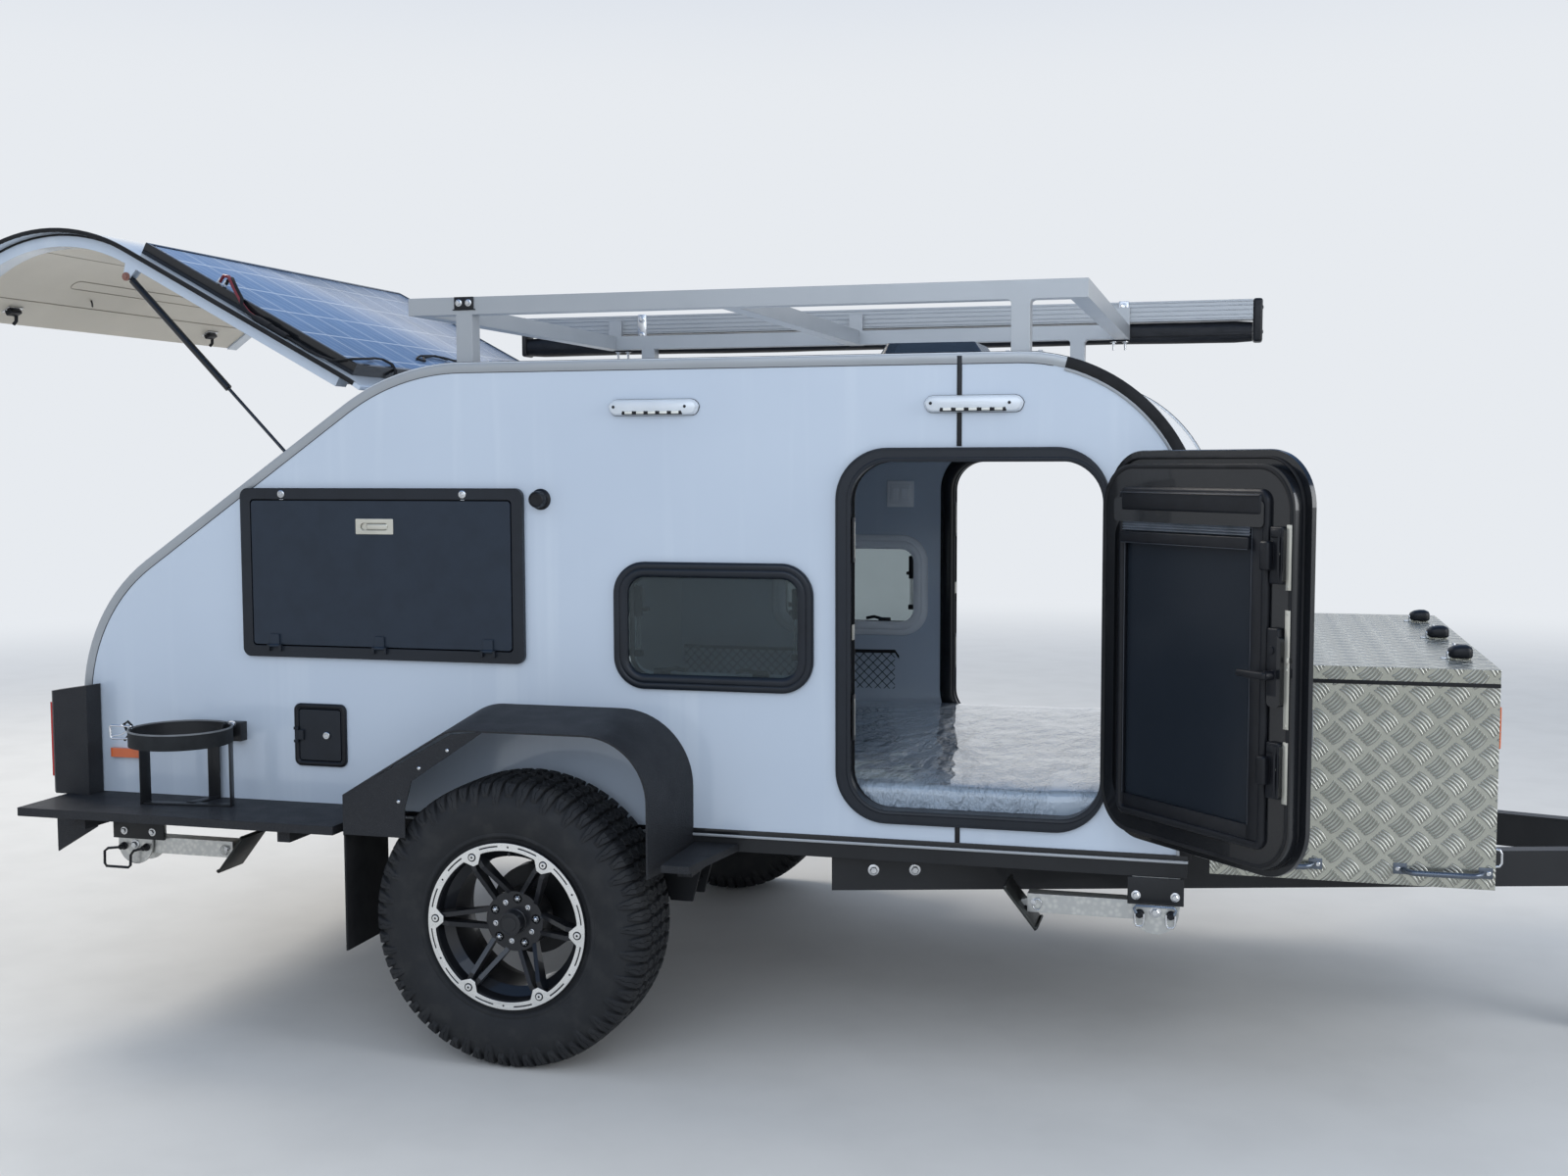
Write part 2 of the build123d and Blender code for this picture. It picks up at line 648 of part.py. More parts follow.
def hatch_band(outer, inner, start_turn):
    """Closed band between two insets of the rear profile, from a turn on the hip to the lid's foot."""
    with BuildLine() as border:
        ends = []
        for inset in (outer, inner):
            foot = from_hinge(rear_foot(inset, hatch_low_z))
            lean = from_hinge(on_circle(rear_centre, rear_radius - inset, 180 + rear_lean))
            Line(foot, lean)
            hinged_arc(rear_centre, rear_radius - inset, 180 + rear_lean, 90 + back_slope)
            low = from_hinge(on_circle(rear_centre, rear_radius - inset, 90 + back_slope))
            high = from_hinge(on_circle(hip_centre, hip_radius - inset, 90 + back_slope))
            if start_turn < back_slope:
                Line(low, high)
                hinged_arc(hip_centre, hip_radius - inset, 90 + back_slope, 90 + start_turn)
                top = from_hinge(on_circle(hip_centre, hip_radius - inset, 90 + start_turn))
            else:
                share = (start_turn - back_slope) / 100
                top = (high[0] + (low[0] - high[0]) * share, high[1] + (low[1] - high[1]) * share)
                Line(low, top)
            ends.append((foot, top))
        Line(ends[0][0], ends[1][0])
        Line(ends[0][1], ends[1][1])
    make_face(border.edges())


# Directions on the closed lid's straight slope, down it and out of it
slope = math.radians(back_slope)
slope_dir = (-math.cos(slope), -math.sin(slope))
slope_out = (-math.sin(slope), math.cos(slope))
slope_top = from_hinge(on_circle(hip_centre, hip_radius, 90 + back_slope))


def on_slope(along, out):
    """Point of the closed lid, down the slope and out from the body's profile."""
    return (slope_top[0] + slope_dir[0] * along + slope_out[0] * out,
            slope_top[1] + slope_dir[1] * along + slope_out[1] * out)


core_half = wall_in - hatch_gap
core_turn = back_slope + 3
rim_wide = 60
liner_depth = 24
skin_turn = hinge_turn + math.degrees((hinge_barrel + fit) / hinge_radius)
with BuildPart() as hatch_shell:
    with BuildSketch(hatch_plane(body_half)) as skin_outline:
        hatch_band(-seal - hatch_skin, -seal, skin_turn)
    extrude(skin_outline.sketch, amount=2 * body_half)
    for side in (-1, 1):
        low_y = core_half if side > 0 else -core_half + rim_wide
        with BuildSketch(hatch_plane(low_y)) as rim_outline:
            hatch_band(-seal, hatch_core, core_turn)
        extrude(rim_outline.sketch, amount=rim_wide)
    with BuildSketch(hatch_plane(core_half - rim_wide)) as core_outline:
        hatch_band(-seal, liner_depth, core_turn)
    extrude(core_outline.sketch, amount=2 * (core_half - rim_wide))
    # Two ears and a pin on each side for the upper eye of a gas strut
    ear_root = (strut_top_closed[0] + slope_out[0] * 44, strut_top_closed[1] + slope_out[1] * 44)
    ear_corners = []
    for centre, reach in ((strut_top_closed, 12), (ear_root, 24)):
        ear_corners.append((centre[0] - slope_dir[0] * reach, centre[1] - slope_dir[1] * reach))
        ear_corners.append((centre[0] + slope_dir[0] * reach, centre[1] + slope_dir[1] * reach))
    ear_outline = [ear_corners[0], ear_corners[1], ear_corners[3], ear_corners[2]]
    for side in (-1, 1):
        for ear_y in (strut_radius + 5, -strut_radius):
            plate(hatch_plane(side * anchor_y + ear_y), ear_outline, 5)
        with BuildSketch(hatch_plane(side * anchor_y + 16)) as pin:
            with Locations(strut_top_closed):
                Circle(4)
        extrude(pin.sketch, amount=32)
hatch_shell.part.label = "hatch_shell"
export_step(hatch_shell.part, "parts/hatch_shell.step")

with BuildPart() as hatch_liner:
    with BuildSketch(hatch_plane(core_half - rim_wide - fit)) as liner_outline:
        hatch_band(liner_depth + fit, liner_depth + 5, core_turn + 1)
    extrude(liner_outline.sketch, amount=2 * (core_half - rim_wide - fit))
hatch_liner.part.label = "hatch_liner"
export_step(hatch_liner.part, "parts/hatch_liner.step")

# Solar panel on the lid's straight slope
solar_low = seal + hatch_skin + fit
with BuildPart() as solar_panel:
    corners = [(solar_start - 40, solar_low), (solar_start - 40 + solar_length, solar_low),
               (solar_start - 40 + solar_length, solar_low + solar_frame), (solar_start - 40, solar_low + solar_frame)]
    plate(hatch_plane(solar_half), [on_slope(a, o) for a, o in corners], 2 * solar_half)
    inner_corners = [(solar_start - 28, solar_low + solar_frame - 3),
                     (solar_start - 52 + solar_length, solar_low + solar_frame - 3),
                     (solar_start - 52 + solar_length, solar_low + solar_frame + 3),
                     (solar_start - 28, solar_low + solar_frame + 3)]
    plate(hatch_plane(solar_half - 12), [on_slope(a, o) for a, o in inner_corners], 2 * (solar_half - 12),
          Mode.SUBTRACT)
solar_panel.part.label = "solar_panel"
export_step(solar_panel.part, "parts/solar_panel.step")

# Gas struts: the tube hangs on the lid, the rod slides in it towards the stud on the wall


def opened(point):
    """Place of a point of the closed lid, given from the hinge, once the lid is open."""
    return (hinge[0] + point[0] * math.cos(turn) + point[1] * math.sin(turn),
            hinge[1] - point[0] * math.sin(turn) + point[1] * math.cos(turn))


strut_top = opened(strut_top_closed)
strut_length = math.dist(strut_top, strut_foot)
strut_way = ((strut_foot[0] - strut_top[0]) / strut_length, (strut_foot[1] - strut_top[1]) / strut_length)


def strut_point(along, y):
    return (strut_top[0] + strut_way[0] * along, y, strut_top[1] + strut_way[1] * along)


for side, name in ((-1, "right"), (1, "left")):
    y = side * anchor_y
    way = (strut_way[0], 0, strut_way[1])
    with BuildPart() as strut_cylinder:
        cylinder(strut_point(14, y), way, strut_radius, strut_tube - 14)
        cylinder(strut_point(20, y), way, rod_radius + 2, strut_tube - 32, Mode.SUBTRACT)
        cylinder(strut_point(strut_tube - 40, y), way, rod_radius + fit, 60, Mode.SUBTRACT)
        cylinder(strut_point(0, y - strut_eye), (0, 1, 0), 9, 2 * strut_eye)
        cylinder(strut_point(0, y), way, 5, 20)
        cylinder(strut_point(0, y - 10), (0, 1, 0), 4 + fit, 20, Mode.SUBTRACT)
    strut_cylinder.part.label = "strut_cylinder_" + name
    export_step(strut_cylinder.part, "parts/strut_cylinder_" + name + ".step")
    with BuildPart() as strut_rod:
        cylinder(strut_point(strut_tube - 60, y), way, rod_radius, strut_length - strut_tube + 60 - 8)
        cylinder(strut_point(strut_length, y - strut_eye), (0, 1, 0), 9, 2 * strut_eye)
    strut_rod.part.label = "strut_rod_" + name
    export_step(strut_rod.part, "parts/strut_rod_" + name + ".step")

# Mudguards: a tapered shell over each wheel, with a side plate at the rear and a stone lip


def guard_outline(plane, inset):
    rise = 0.6
    top_x = guard_rear_x + (guard_top_z - guard_knee_z) / rise
    with BuildSketch(plane) as outline:
        with BuildLine():
            Polyline((guard_rear_x + inset, 200), (guard_rear_x + inset, guard_knee_z - inset * 0.57),
                     (top_x + inset * 0.3, guard_top_z - inset), (guard_front_x - inset, guard_top_z - inset),
                     (guard_front_x - inset, 200), close=True)
        make_face()
        fillet(outline.vertices().group_by(Axis.Y)[-1].sort_by(Axis.X)[-1], 212 - inset)
        fillet(outline.vertices().group_by(Axis.Y)[-1].sort_by(Axis.X)[0], 150)
    return outline.sketch


with BuildPart() as mudguards:
    start = right_face.offset(fit)
    extrude(guard_outline(start, 0), amount=guard_width, taper=guard_taper)
    extrude(guard_outline(start, guard_plate), amount=guard_width + 5, taper=guard_taper, mode=Mode.SUBTRACT)
    block((guard_rear_x - 300, guard_front_x + 300), (-2000, 0), (0, guard_low_z), Mode.SUBTRACT)
    block((guard_rear_x - 300, axle_x), (-2000, 0), (0, body_low_z), Mode.SUBTRACT)
    lip = Plane(origin=(0, -body_half - guard_width + 4, 0), x_dir=(1, 0, 0), z_dir=(0, -1, 0))
    shift = guard_width * math.tan(math.radians(guard_taper))
    lip_low = body_low_z + 2
    plate(lip, [(guard_rear_x + shift, lip_low), (guard_rear_x + shift, guard_knee_z - 20),
                (axle_x - 150, guard_top_z - shift - 14), (axle_x - 55, guard_top_z - shift - 4),
                (axle_x - 270, guard_knee_z + 30), (axle_x - 292, guard_knee_z - 47), (axle_x - 292, lip_low)], 4)
    mirror(mudguards.part, about=Plane.XZ)
mudguards.part.label = "mudguards"
export_step(mudguards.part, "parts/mudguards.step")

# Rubber flaps that hang from the guards' rear ends
flap_x = guard_rear_x + 30
with BuildPart() as mud_flaps:
    for side in (-1, 1):
        low_y, high_y = sorted((side * (body_half + 40), side * (body_half + guard_width - 8)))
        block((flap_x, flap_x + 6), (low_y, high_y), (flap_low_z, body_low_z - fit))
mud_flaps.part.label = "mud_flaps"
export_step(mud_flaps.part, "parts/mud_flaps.step")

# Platforms along the rear sides and steps in front of the wheels, on brackets from the chassis
platform_y = (-body_half - guard_width, -body_half - fit)
with BuildPart() as side_platforms:
    block((platform_rear_x, guard_rear_x - fit), platform_y, (platform_top_z - platform_plate, platform_top_z))
    for x in (-1380, -700):
        block((axle_x + x - 20, axle_x + x + 20), (-body_half - 240, -chassis_half - fit),
              (platform_top_z - platform_plate - 40, platform_top_z - platform_plate))
    plate(Plane.XY.offset(step_top_z - 20),
          [(guard_front_x - 20, -body_half - fit), (guard_front_x + 130, -body_half - fit),
           (guard_front_x + 82, -body_half - guard_width), (guard_front_x - 20, -body_half - guard_width)], 20)
    block((guard_front_x + 20, guard_front_x + 60), (-body_half - 200, -chassis_half - fit),
          (step_top_z - 50, step_top_z - 20))
    block((guard_front_x - 60, guard_front_x + 4), (-body_half - guard_width - 5, 0), (500, 700), Mode.SUBTRACT)
    mirror(side_platforms.part, about=Plane.XZ)
side_platforms.part.label = "side_platforms"
export_step(side_platforms.part, "parts/side_platforms.step")

# Tail lamp boxes on the platforms' rear ends, with a gusset plate below
tail_x = (axle_x - 1615, axle_x - 1473)
tail_top_z = platform_top_z + 336
with BuildPart() as tail_boxes:
    box_plane = side_plane(-body_half - 5 - fit, -1)
    plate(box_plane, [(tail_x[0], platform_top_z + fit), (tail_x[1], platform_top_z + fit), (tail_x[1], tail_top_z),
                      (tail_x[0], tail_top_z - 22)], 66)
    rear_edges = tail_boxes.edges().filter_by(Axis.Z).group_by(Axis.X)[0]
    chamfer(rear_edges.sort_by(Axis.Y)[0], 22)
    plate(side_plane(-body_half - 36, -1), [(tail_x[0], platform_top_z - platform_plate - fit),
                                            (tail_x[1], platform_top_z - platform_plate - fit),
                                            (tail_x[1], platform_top_z - 105),
                                            (tail_x[0], platform_top_z - 189)], 8)
    mirror(tail_boxes.part, about=Plane.XZ)
tail_boxes.part.label = "tail_boxes"
export_step(tail_boxes.part, "parts/tail_boxes.step")

with BuildPart() as lamp_lenses:
    for side in (-1, 1):
        y = sorted((side * (body_half + 14), side * (body_half + 46)))
        block((tail_x[0] - 9, tail_x[0] - fit), y, (tail_top_z - 288, tail_top_z - 58))
        marker_y = sorted((side * (body_half + fit), side * (body_half + 14)))
        block((axle_x - 1436, axle_x - 1325), marker_y, (762, 790))
lamp_lenses.part.label = "lamp_lenses"
export_step(lamp_lenses.part, "parts/lamp_lenses.step")

# Bottle holder on the right platform: a ring of flat bar on three legs
ring_x = axle_x - 1080
ring_y = -body_half - 176
ring_radius = 163
ring_top_z = 882
bar = 4
with BuildPart() as bottle_holder:
    with BuildSketch(Plane.XY.offset(ring_top_z - 46)) as ring_outline:
        with Locations((ring_x, ring_y)):
            Circle(ring_radius)
            Circle(ring_radius - bar, mode=Mode.SUBTRACT)
    extrude(ring_outline.sketch, amount=46)
    for angle in (90, 205, 335):
        centre = on_circle((ring_x, ring_y), ring_radius + 0.5, angle)
        with BuildSketch(Plane(origin=(centre[0], centre[1], platform_top_z + fit),
                               x_dir=(math.cos(math.radians(angle)), math.sin(math.radians(angle)), 0),
                               z_dir=(0, 0, 1))) as leg:
            Rectangle(bar, 36)
        extrude(leg.sketch, amount=ring_top_z - 20 - platform_top_z - fit)
        foot = on_circle((ring_x, ring_y), ring_radius / 2, angle)
        with BuildSketch(Plane(origin=(foot[0], foot[1], platform_top_z + fit),
                               x_dir=(math.cos(math.radians(angle)), math.sin(math.radians(angle)), 0),
                               z_dir=(0, 0, 1))) as foot_bar:
            Rectangle(ring_radius, 36)
        extrude(foot_bar.sketch, amount=bar)
    block((ring_x + 60, ring_x + 115), (-body_half - 34, -body_half - fit), (ring_top_z - 50, ring_top_z + 8))
bottle_holder.part.label = "bottle_holder"
export_step(bottle_holder.part, "parts/bottle_holder.step")

# Chassis: side rails, crossmembers and the drawbar's two converging rails below them
with BuildPart() as chassis_rails:
    for side in (-1, 1):
        y = sorted((side * chassis_half, side * (chassis_half - tube)))
        block((rear_foot(0, body_low_z)[0] + 4, front_x - 6), y, (rail_top_z, rail_top_z + tube))
chassis_rails.part.label = "chassis_rails"
export_step(chassis_rails.part, "parts/chassis_rails.step")

with BuildPart() as chassis_crossmembers:
    for place in cross_places:
        block((axle_x + place - tube / 2, axle_x + place + tube / 2), (-chassis_half + tube, chassis_half - tube),
              (rail_top_z, rail_top_z + tube))
chassis_crossmembers.part.label = "chassis_crossmembers"
export_step(chassis_crossmembers.part, "parts/chassis_crossmembers.step")

rail_wide = tube * math.sqrt(1 + drawbar_slope ** 2)
head_half = drawbar_head_half
with BuildPart() as drawbar_rails:
    for side in (-1, 1):
        plate(Plane.XY.offset(drawbar_low_z),
              [(drawbar_rear_x, side * drawbar_half), (drawbar_front_x, side * head_half),
               (drawbar_front_x, side * (head_half - rail_wide)), (drawbar_rear_x, side * (drawbar_half - rail_wide))],
              drawbar_tube)
drawbar_rails.part.label = "drawbar_rails"
export_step(drawbar_rails.part, "parts/drawbar_rails.step")

# Drawbar head: plates that close the rails' front ends, and safety chain lugs
head_front_x = drawbar_front_x + 90
chain_hole = 9
with BuildPart() as drawbar_head:
    for z in ((rail_top_z, rail_top_z + 10), (drawbar_low_z - 10, drawbar_low_z)):
        plate(Plane.XY.offset(z[0]), [(drawbar_front_x - 220, -head_half - 63), (drawbar_front_x, -head_half),
                                      (head_front_x, -head_half + 12), (head_front_x, head_half - 12),
                                      (drawbar_front_x, head_half), (drawbar_front_x - 220, head_half + 63)],
              z[1] - z[0])
    block((drawbar_front_x + fit, head_front_x - 8), (-head_half + 14, head_half - 14), (drawbar_low_z, rail_top_z))
    for side in (-1, 1):
        y = sorted((side * (head_half - 24), side * (head_half - 36)))
        block((drawbar_front_x - 20, drawbar_front_x + 40), y, (drawbar_low_z - 60, drawbar_low_z - 10))
        cylinder((drawbar_front_x + 10, -200, drawbar_low_z - 36), (0, 1, 0), chain_hole, 400, Mode.SUBTRACT)
drawbar_head.part.label = "drawbar_head"
export_step(drawbar_head.part, "parts/drawbar_head.step")

# Ball coupling: a housing with a ball socket under its nose and a lever on top
ball_radius = 25
ball_x = head_front_x + coupling_reach - 125
coupling_low = rail_top_z + 10
with BuildPart() as coupling:
    with BuildSketch(Plane.XY.offset(coupling_low)) as coupling_outline:
        with BuildLine():
            Polyline((drawbar_front_x - 60, -45), (head_front_x - 30, -45), (ball_x, -42), (ball_x, 42),
                     (head_front_x - 30, 45), (drawbar_front_x - 60, 45), close=True)
        make_face()
        with Locations((ball_x, 0)):
            Circle(42)
    extrude(coupling_outline.sketch, amount=52)
    with Locations((ball_x, 0, coupling_low)):
        Sphere(ball_radius + 1, mode=Mode.SUBTRACT)
    with Locations((drawbar_front_x - 10, 0, coupling_low + 68)):
        Box(150, 26, 32)
    cylinder((drawbar_front_x - 74, 0, coupling_low + 76), (-0.6, 0, 0.8), 9, 120)
coupling.part.label = "coupling"
export_step(coupling.part, "parts/coupling.step")

# Suspension: trailing arms, stub axles with brake drums, springs and pivot brackets
arm_pivot = (axle_x + 388, 458)
arm_y = (chassis_half - 160, chassis_half - 70)
drum_y = track_half - tyre_width / 2 + 4
stub_radius = 30
stub_end = track_half + hub_depth - 12
with BuildPart() as suspension_arms:
    axle_z = tyre_radius
    way_x = arm_pivot[0] - axle_x
    way_z = arm_pivot[1] - axle_z
    arm_length = math.hypot(way_x, way_z)
    for side in (-1, 1):
        low_y, high_y = sorted((side * arm_y[0], side * arm_y[1]))
        arm_plane = Plane(origin=(0, high_y, 0), x_dir=(1, 0, 0), z_dir=(0, -1, 0))
        plate(arm_plane, [(axle_x - 50, axle_z - 40), (axle_x - 50, axle_z + 44), (arm_pivot[0], arm_pivot[1] + 32),
                          (arm_pivot[0] + 34, arm_pivot[1]), (arm_pivot[0], arm_pivot[1] - 32)], high_y - low_y)
        stub_start = side * (arm_y[0] + 20)
        cylinder((axle_x, stub_start, axle_z), (0, side, 0), stub_radius, stub_end - abs(stub_start))
        cylinder((axle_x, side * drum_y, axle_z), (0, side, 0), 128, 52)
        cylinder((arm_pivot[0], -900 * side, arm_pivot[1]), (0, side, 0), 10 + fit, 1800, Mode.SUBTRACT)
    # Shock absorbers and coil springs up to the chassis rails
    for side in (-1, 1):
        y = side * (arm_y[0] + arm_y[1]) / 2
        for step in range(3):
            with BuildSketch(Plane.XY.offset(axle_z + 56 + step * 42)) as coil:
                with Locations((axle_x + 60, y)):
                    Circle(44)
                    Circle(32, mode=Mode.SUBTRACT)
            extrude(coil.sketch, amount=16)
        cylinder((axle_x + 60, y, axle_z + 20), (0, 0, 1), 33, rail_top_z - axle_z - 20 - fit)
suspension_arms.part.label = "suspension_arms"
export_step(suspension_arms.part, "parts/suspension_arms.step")

with BuildPart() as suspension_brackets:
    for side in (-1, 1):
        for y in (arm_y[0] - 12, arm_y[1] + 4):
            low_y, high_y = sorted((side * y, side * (y + 8)))
            plane = Plane(origin=(0, high_y, 0), x_dir=(1, 0, 0), z_dir=(0, -1, 0))
            plate(plane, [(arm_pivot[0] - 70, rail_top_z), (arm_pivot[0] + 80, rail_top_z),
                          (arm_pivot[0] + 36, arm_pivot[1] - 44), (arm_pivot[0] - 30, arm_pivot[1] - 44)],
                  high_y - low_y)
        low_y, high_y = sorted((side * (arm_y[0] - 12), side * (arm_y[1] + 12)))
        cylinder((arm_pivot[0], low_y, arm_pivot[1]), (0, 1, 0), 10, high_y - low_y)
        block((arm_pivot[0] - 70, arm_pivot[0] + 80), (low_y, high_y), (rail_top_z - 10, rail_top_z))
        block((axle_x - 10, axle_x + 130), (low_y, high_y), (rail_top_z, rail_top_z + tube))
suspension_brackets.part.label = "suspension_brackets"
export_step(suspension_brackets.part, "parts/suspension_brackets.step")

# Wheels: tyre with shoulder and centre lugs, alloy rim with twin spokes, and its bolted ring
tread_radius = tyre_radius - lug_height


def section_plane():
    """Half-section plane of the right wheel: x runs up from the axle, y runs outwards."""
    return Plane(origin=(axle_x, -track_half, tyre_radius), x_dir=(0, 0, 1), z_dir=(1, 0, 0))


wheel_axis = Axis((axle_x, -track_half, tyre_radius), (0, 1, 0))
half = tyre_width / 2
with BuildPart() as tyre_right:
    with BuildSketch(section_plane()) as tyre_section:
        with BuildLine():
            Line((rim_bead_radius + fit, -92), (rim_bead_radius + fit, 92))
            Line((rim_bead_radius + fit, 92), (rim_bead_radius + 26, 104))
            ThreePointArc((rim_bead_radius + 26, 104), (308, half), (tread_radius - 22, 118))
            Line((tread_radius - 22, 118), (tread_radius, 92))
            Line((tread_radius, 92), (tread_radius, -92))
            Line((tread_radius, -92), (tread_radius - 22, -118))
            ThreePointArc((tread_radius - 22, -118), (308, -half), (rim_bead_radius + 26, -104))
            Line((rim_bead_radius + 26, -104), (rim_bead_radius + fit, -92))
        make_face()
    revolve(axis=wheel_axis)
    pitch = 360 / lug_count
    for low_y, high_y, phase in ((-118, -9, 0), (9, 118, 0.5)):
        with BuildSketch(Plane(origin=(axle_x, -track_half + low_y, tyre_radius), x_dir=(1, 0, 0),
                               z_dir=(0, 1, 0))) as lug_band:
            Circle(tyre_radius)
            Circle(tread_radius - 14, mode=Mode.SUBTRACT)
            with PolarLocations(tyre_radius, lug_count, start_angle=(0.5 + phase) * pitch + 90):
                Rectangle(60, 26, mode=Mode.SUBTRACT)
        extrude(lug_band.sketch, amount=high_y - low_y)
tyre_right.part.label = "tyre_right"
export_step(tyre_right.part, "parts/tyre_right.step")

hub_radius = 84
cap_radius = 33
cap_height = 36
nut_circle = 64.5
nut_count = 5
nut_turn = 9
nut_seat = 13
spoke_turn = -2.6
leg_meet = 8.5
leg_spread = 25
leg_wide = 13
leg_deep = 24
leg_sunk = 3
ring_lap = 15.5
ring_inner = 209.5
tab_reach = 185


def turned_faces(corners):
    """Faces of one outline, repeated for each spoke round the wheel's centre."""
    for step in range(spoke_count):
        cosine = math.cos(math.radians(spoke_turn + step * 360 / spoke_count))
        sine = math.sin(math.radians(spoke_turn + step * 360 / spoke_count))
        with BuildLine() as border:
            Polyline(*[(x * cosine - y * sine, x * sine + y * cosine) for x, y in corners], close=True)
        make_face(border.edges())


ring_out = rim_half_width + 5


def leg_plane(turn, branch):
    """Plane through one leg of a spoke: x runs from the hub to the ring, y outwards; and the leg's length."""
    tip = (rim_bead_radius - 5, branch * leg_meet)
    root = (hub_radius - 12, branch * leg_spread)
    length = math.hypot(tip[0] - root[0], tip[1] - root[1])
    lean = math.atan2(tip[1] - root[1], tip[0] - root[0]) + math.radians(turn)
    cosine, sine = math.cos(math.radians(turn)), math.sin(math.radians(turn))
    origin = (axle_x + root[0] * cosine - root[1] * sine, -track_half, tyre_radius + root[0] * sine + root[1] * cosine)
    return Plane(origin=origin, x_dir=(math.cos(lean), 0, math.sin(lean)),
                 z_dir=(math.sin(lean), 0, -math.cos(lean))), length


with BuildPart() as rim_right:
    edge = rim_half_width + 6
    bead = rim_bead_radius
    ring_start = -track_half - ring_out
    with BuildSketch(section_plane()) as rim_section:
        with BuildLine():
            Polyline((bead, -rim_half_width), (bead + rim_flange, -rim_half_width), (bead + rim_flange, -edge),
                     (bead - 8, -edge), (bead - 12, -70), (bead - 34, -40), (bead - 34, 60), (bead - 10, 80),
                     (bead - 8, edge), (bead + rim_flange, edge), (bead + rim_flange, rim_half_width),
                     (bead, rim_half_width), (bead, 80), (bead - 26, 62), (bead - 26, -38),
                     (bead, -80), close=True)
        make_face()
    revolve(axis=wheel_axis)
    # Flat ring bolted over the flange, with slots and a tab over each spoke
    with BuildSketch(Plane(origin=(axle_x, ring_start, tyre_radius), x_dir=(1, 0, 0), z_dir=(0, -1, 0))) as ring_face:
        Circle(bead + ring_lap)
        Circle(ring_inner, mode=Mode.SUBTRACT)
        turned_faces([(ring_inner + 5, -30), (ring_inner + 5, 30), (ring_inner - 12, 19), (tab_reach, 8),
                      (tab_reach, -8), (ring_inner - 12, -19)])
    extrude(ring_face.sketch, amount=8)
    # Spokes: Vs of two legs that meet under the ring's tabs and spread at the hub
    for step in range(spoke_count):
        for branch in (-1, 1):
            plane, length = leg_plane(spoke_turn + step * 360 / spoke_count, branch)
            with BuildSketch(plane) as leg_side:
                with BuildLine():
                    Polyline((0, hub_depth - leg_deep), (length, ring_out - leg_deep), (length, ring_out + leg_sunk),
                             (length - 38, ring_out + leg_sunk), (0, hub_depth - leg_sunk), close=True)
                make_face()
            extrude(leg_side.sketch, amount=leg_wide / 2, both=True)
    # Hub disc with its nut seats, the axle's bore and the cap that stands out of it
    face_y = -track_half - hub_depth
    with BuildSketch(Plane(origin=(axle_x, face_y, tyre_radius), x_dir=(1, 0, 0), z_dir=(0, -1, 0))) as hub_face:
        Circle(hub_radius)
        with PolarLocations(nut_circle, nut_count, start_angle=nut_turn):
            Circle(nut_seat, mode=Mode.SUBTRACT)
    extrude(hub_face.sketch, amount=-12)
    cylinder((axle_x, face_y + 10, tyre_radius), (0, 1, 0), hub_radius, 62)
    cylinder((axle_x, face_y, tyre_radius), (0, -1, 0), cap_radius, cap_height)
    cylinder((axle_x, face_y - cap_height, tyre_radius), (0, 1, 0), cap_radius - 7, 4, Mode.SUBTRACT)
    cylinder((axle_x, face_y + 80, tyre_radius), (0, -1, 0), stub_radius + fit, 72, Mode.SUBTRACT)
rim_right.part.label = "rim_right"
export_step(rim_right.part, "parts/rim_right.step")

for whole, name in ((tyre_right, "tyre_left"), (rim_right, "rim_left")):
    with BuildPart() as wheel_copy:
        mirror(whole.part, about=Plane.XZ)
    wheel_copy.part.label = name
    export_step(wheel_copy.part, "parts/" + name + ".step")

# Toolbox: an open box of sheet on the drawbar, with a lid like a shallow tray
toolbox_low = rail_top_z + fit
box_hinge = (toolbox_rear_x - 5.5, toolbox_rim_z + 1)
box_knuckles = (-560, 0, 560)
latch_front_x = toolbox_front_x - 446
latch_z = toolbox_rim_z - 127
with BuildPart() as toolbox:
    sheet = toolbox_sheet
    block((toolbox_rear_x, toolbox_front_x), (-toolbox_half, toolbox_half), (toolbox_low, toolbox_rim_z))
    block((toolbox_rear_x + sheet, toolbox_front_x - sheet), (-toolbox_half + sheet, toolbox_half - sheet),
          (toolbox_low + sheet, toolbox_rim_z + 10), Mode.SUBTRACT)
    for y in box_knuckles:
        for span in ear_spans(y):
            block((box_hinge[0] - 4.5, toolbox_rear_x), span, (box_hinge[1] - 20, box_hinge[1] - 1))
            cylinder((box_hinge[0], span[0], box_hinge[1]), (0, 1, 0), 4.5, knuckle_ear)
        knuckle_pin_bar((box_hinge[0], y, box_hinge[1]), (0, 1, 0))
    # A flush latch near the rear of each side
    for side in (-1, 1):
        latch_plane = side_plane(side * (toolbox_half - 1), side)
        latch_x = sorted((-side * latch_front_x, -side * (latch_front_x - 62)))
        rounded(latch_plane, latch_x, (latch_z - 52, latch_z + 52), 12, 5)
toolbox.part.label = "toolbox"
export_step(toolbox.part, "parts/toolbox.step")

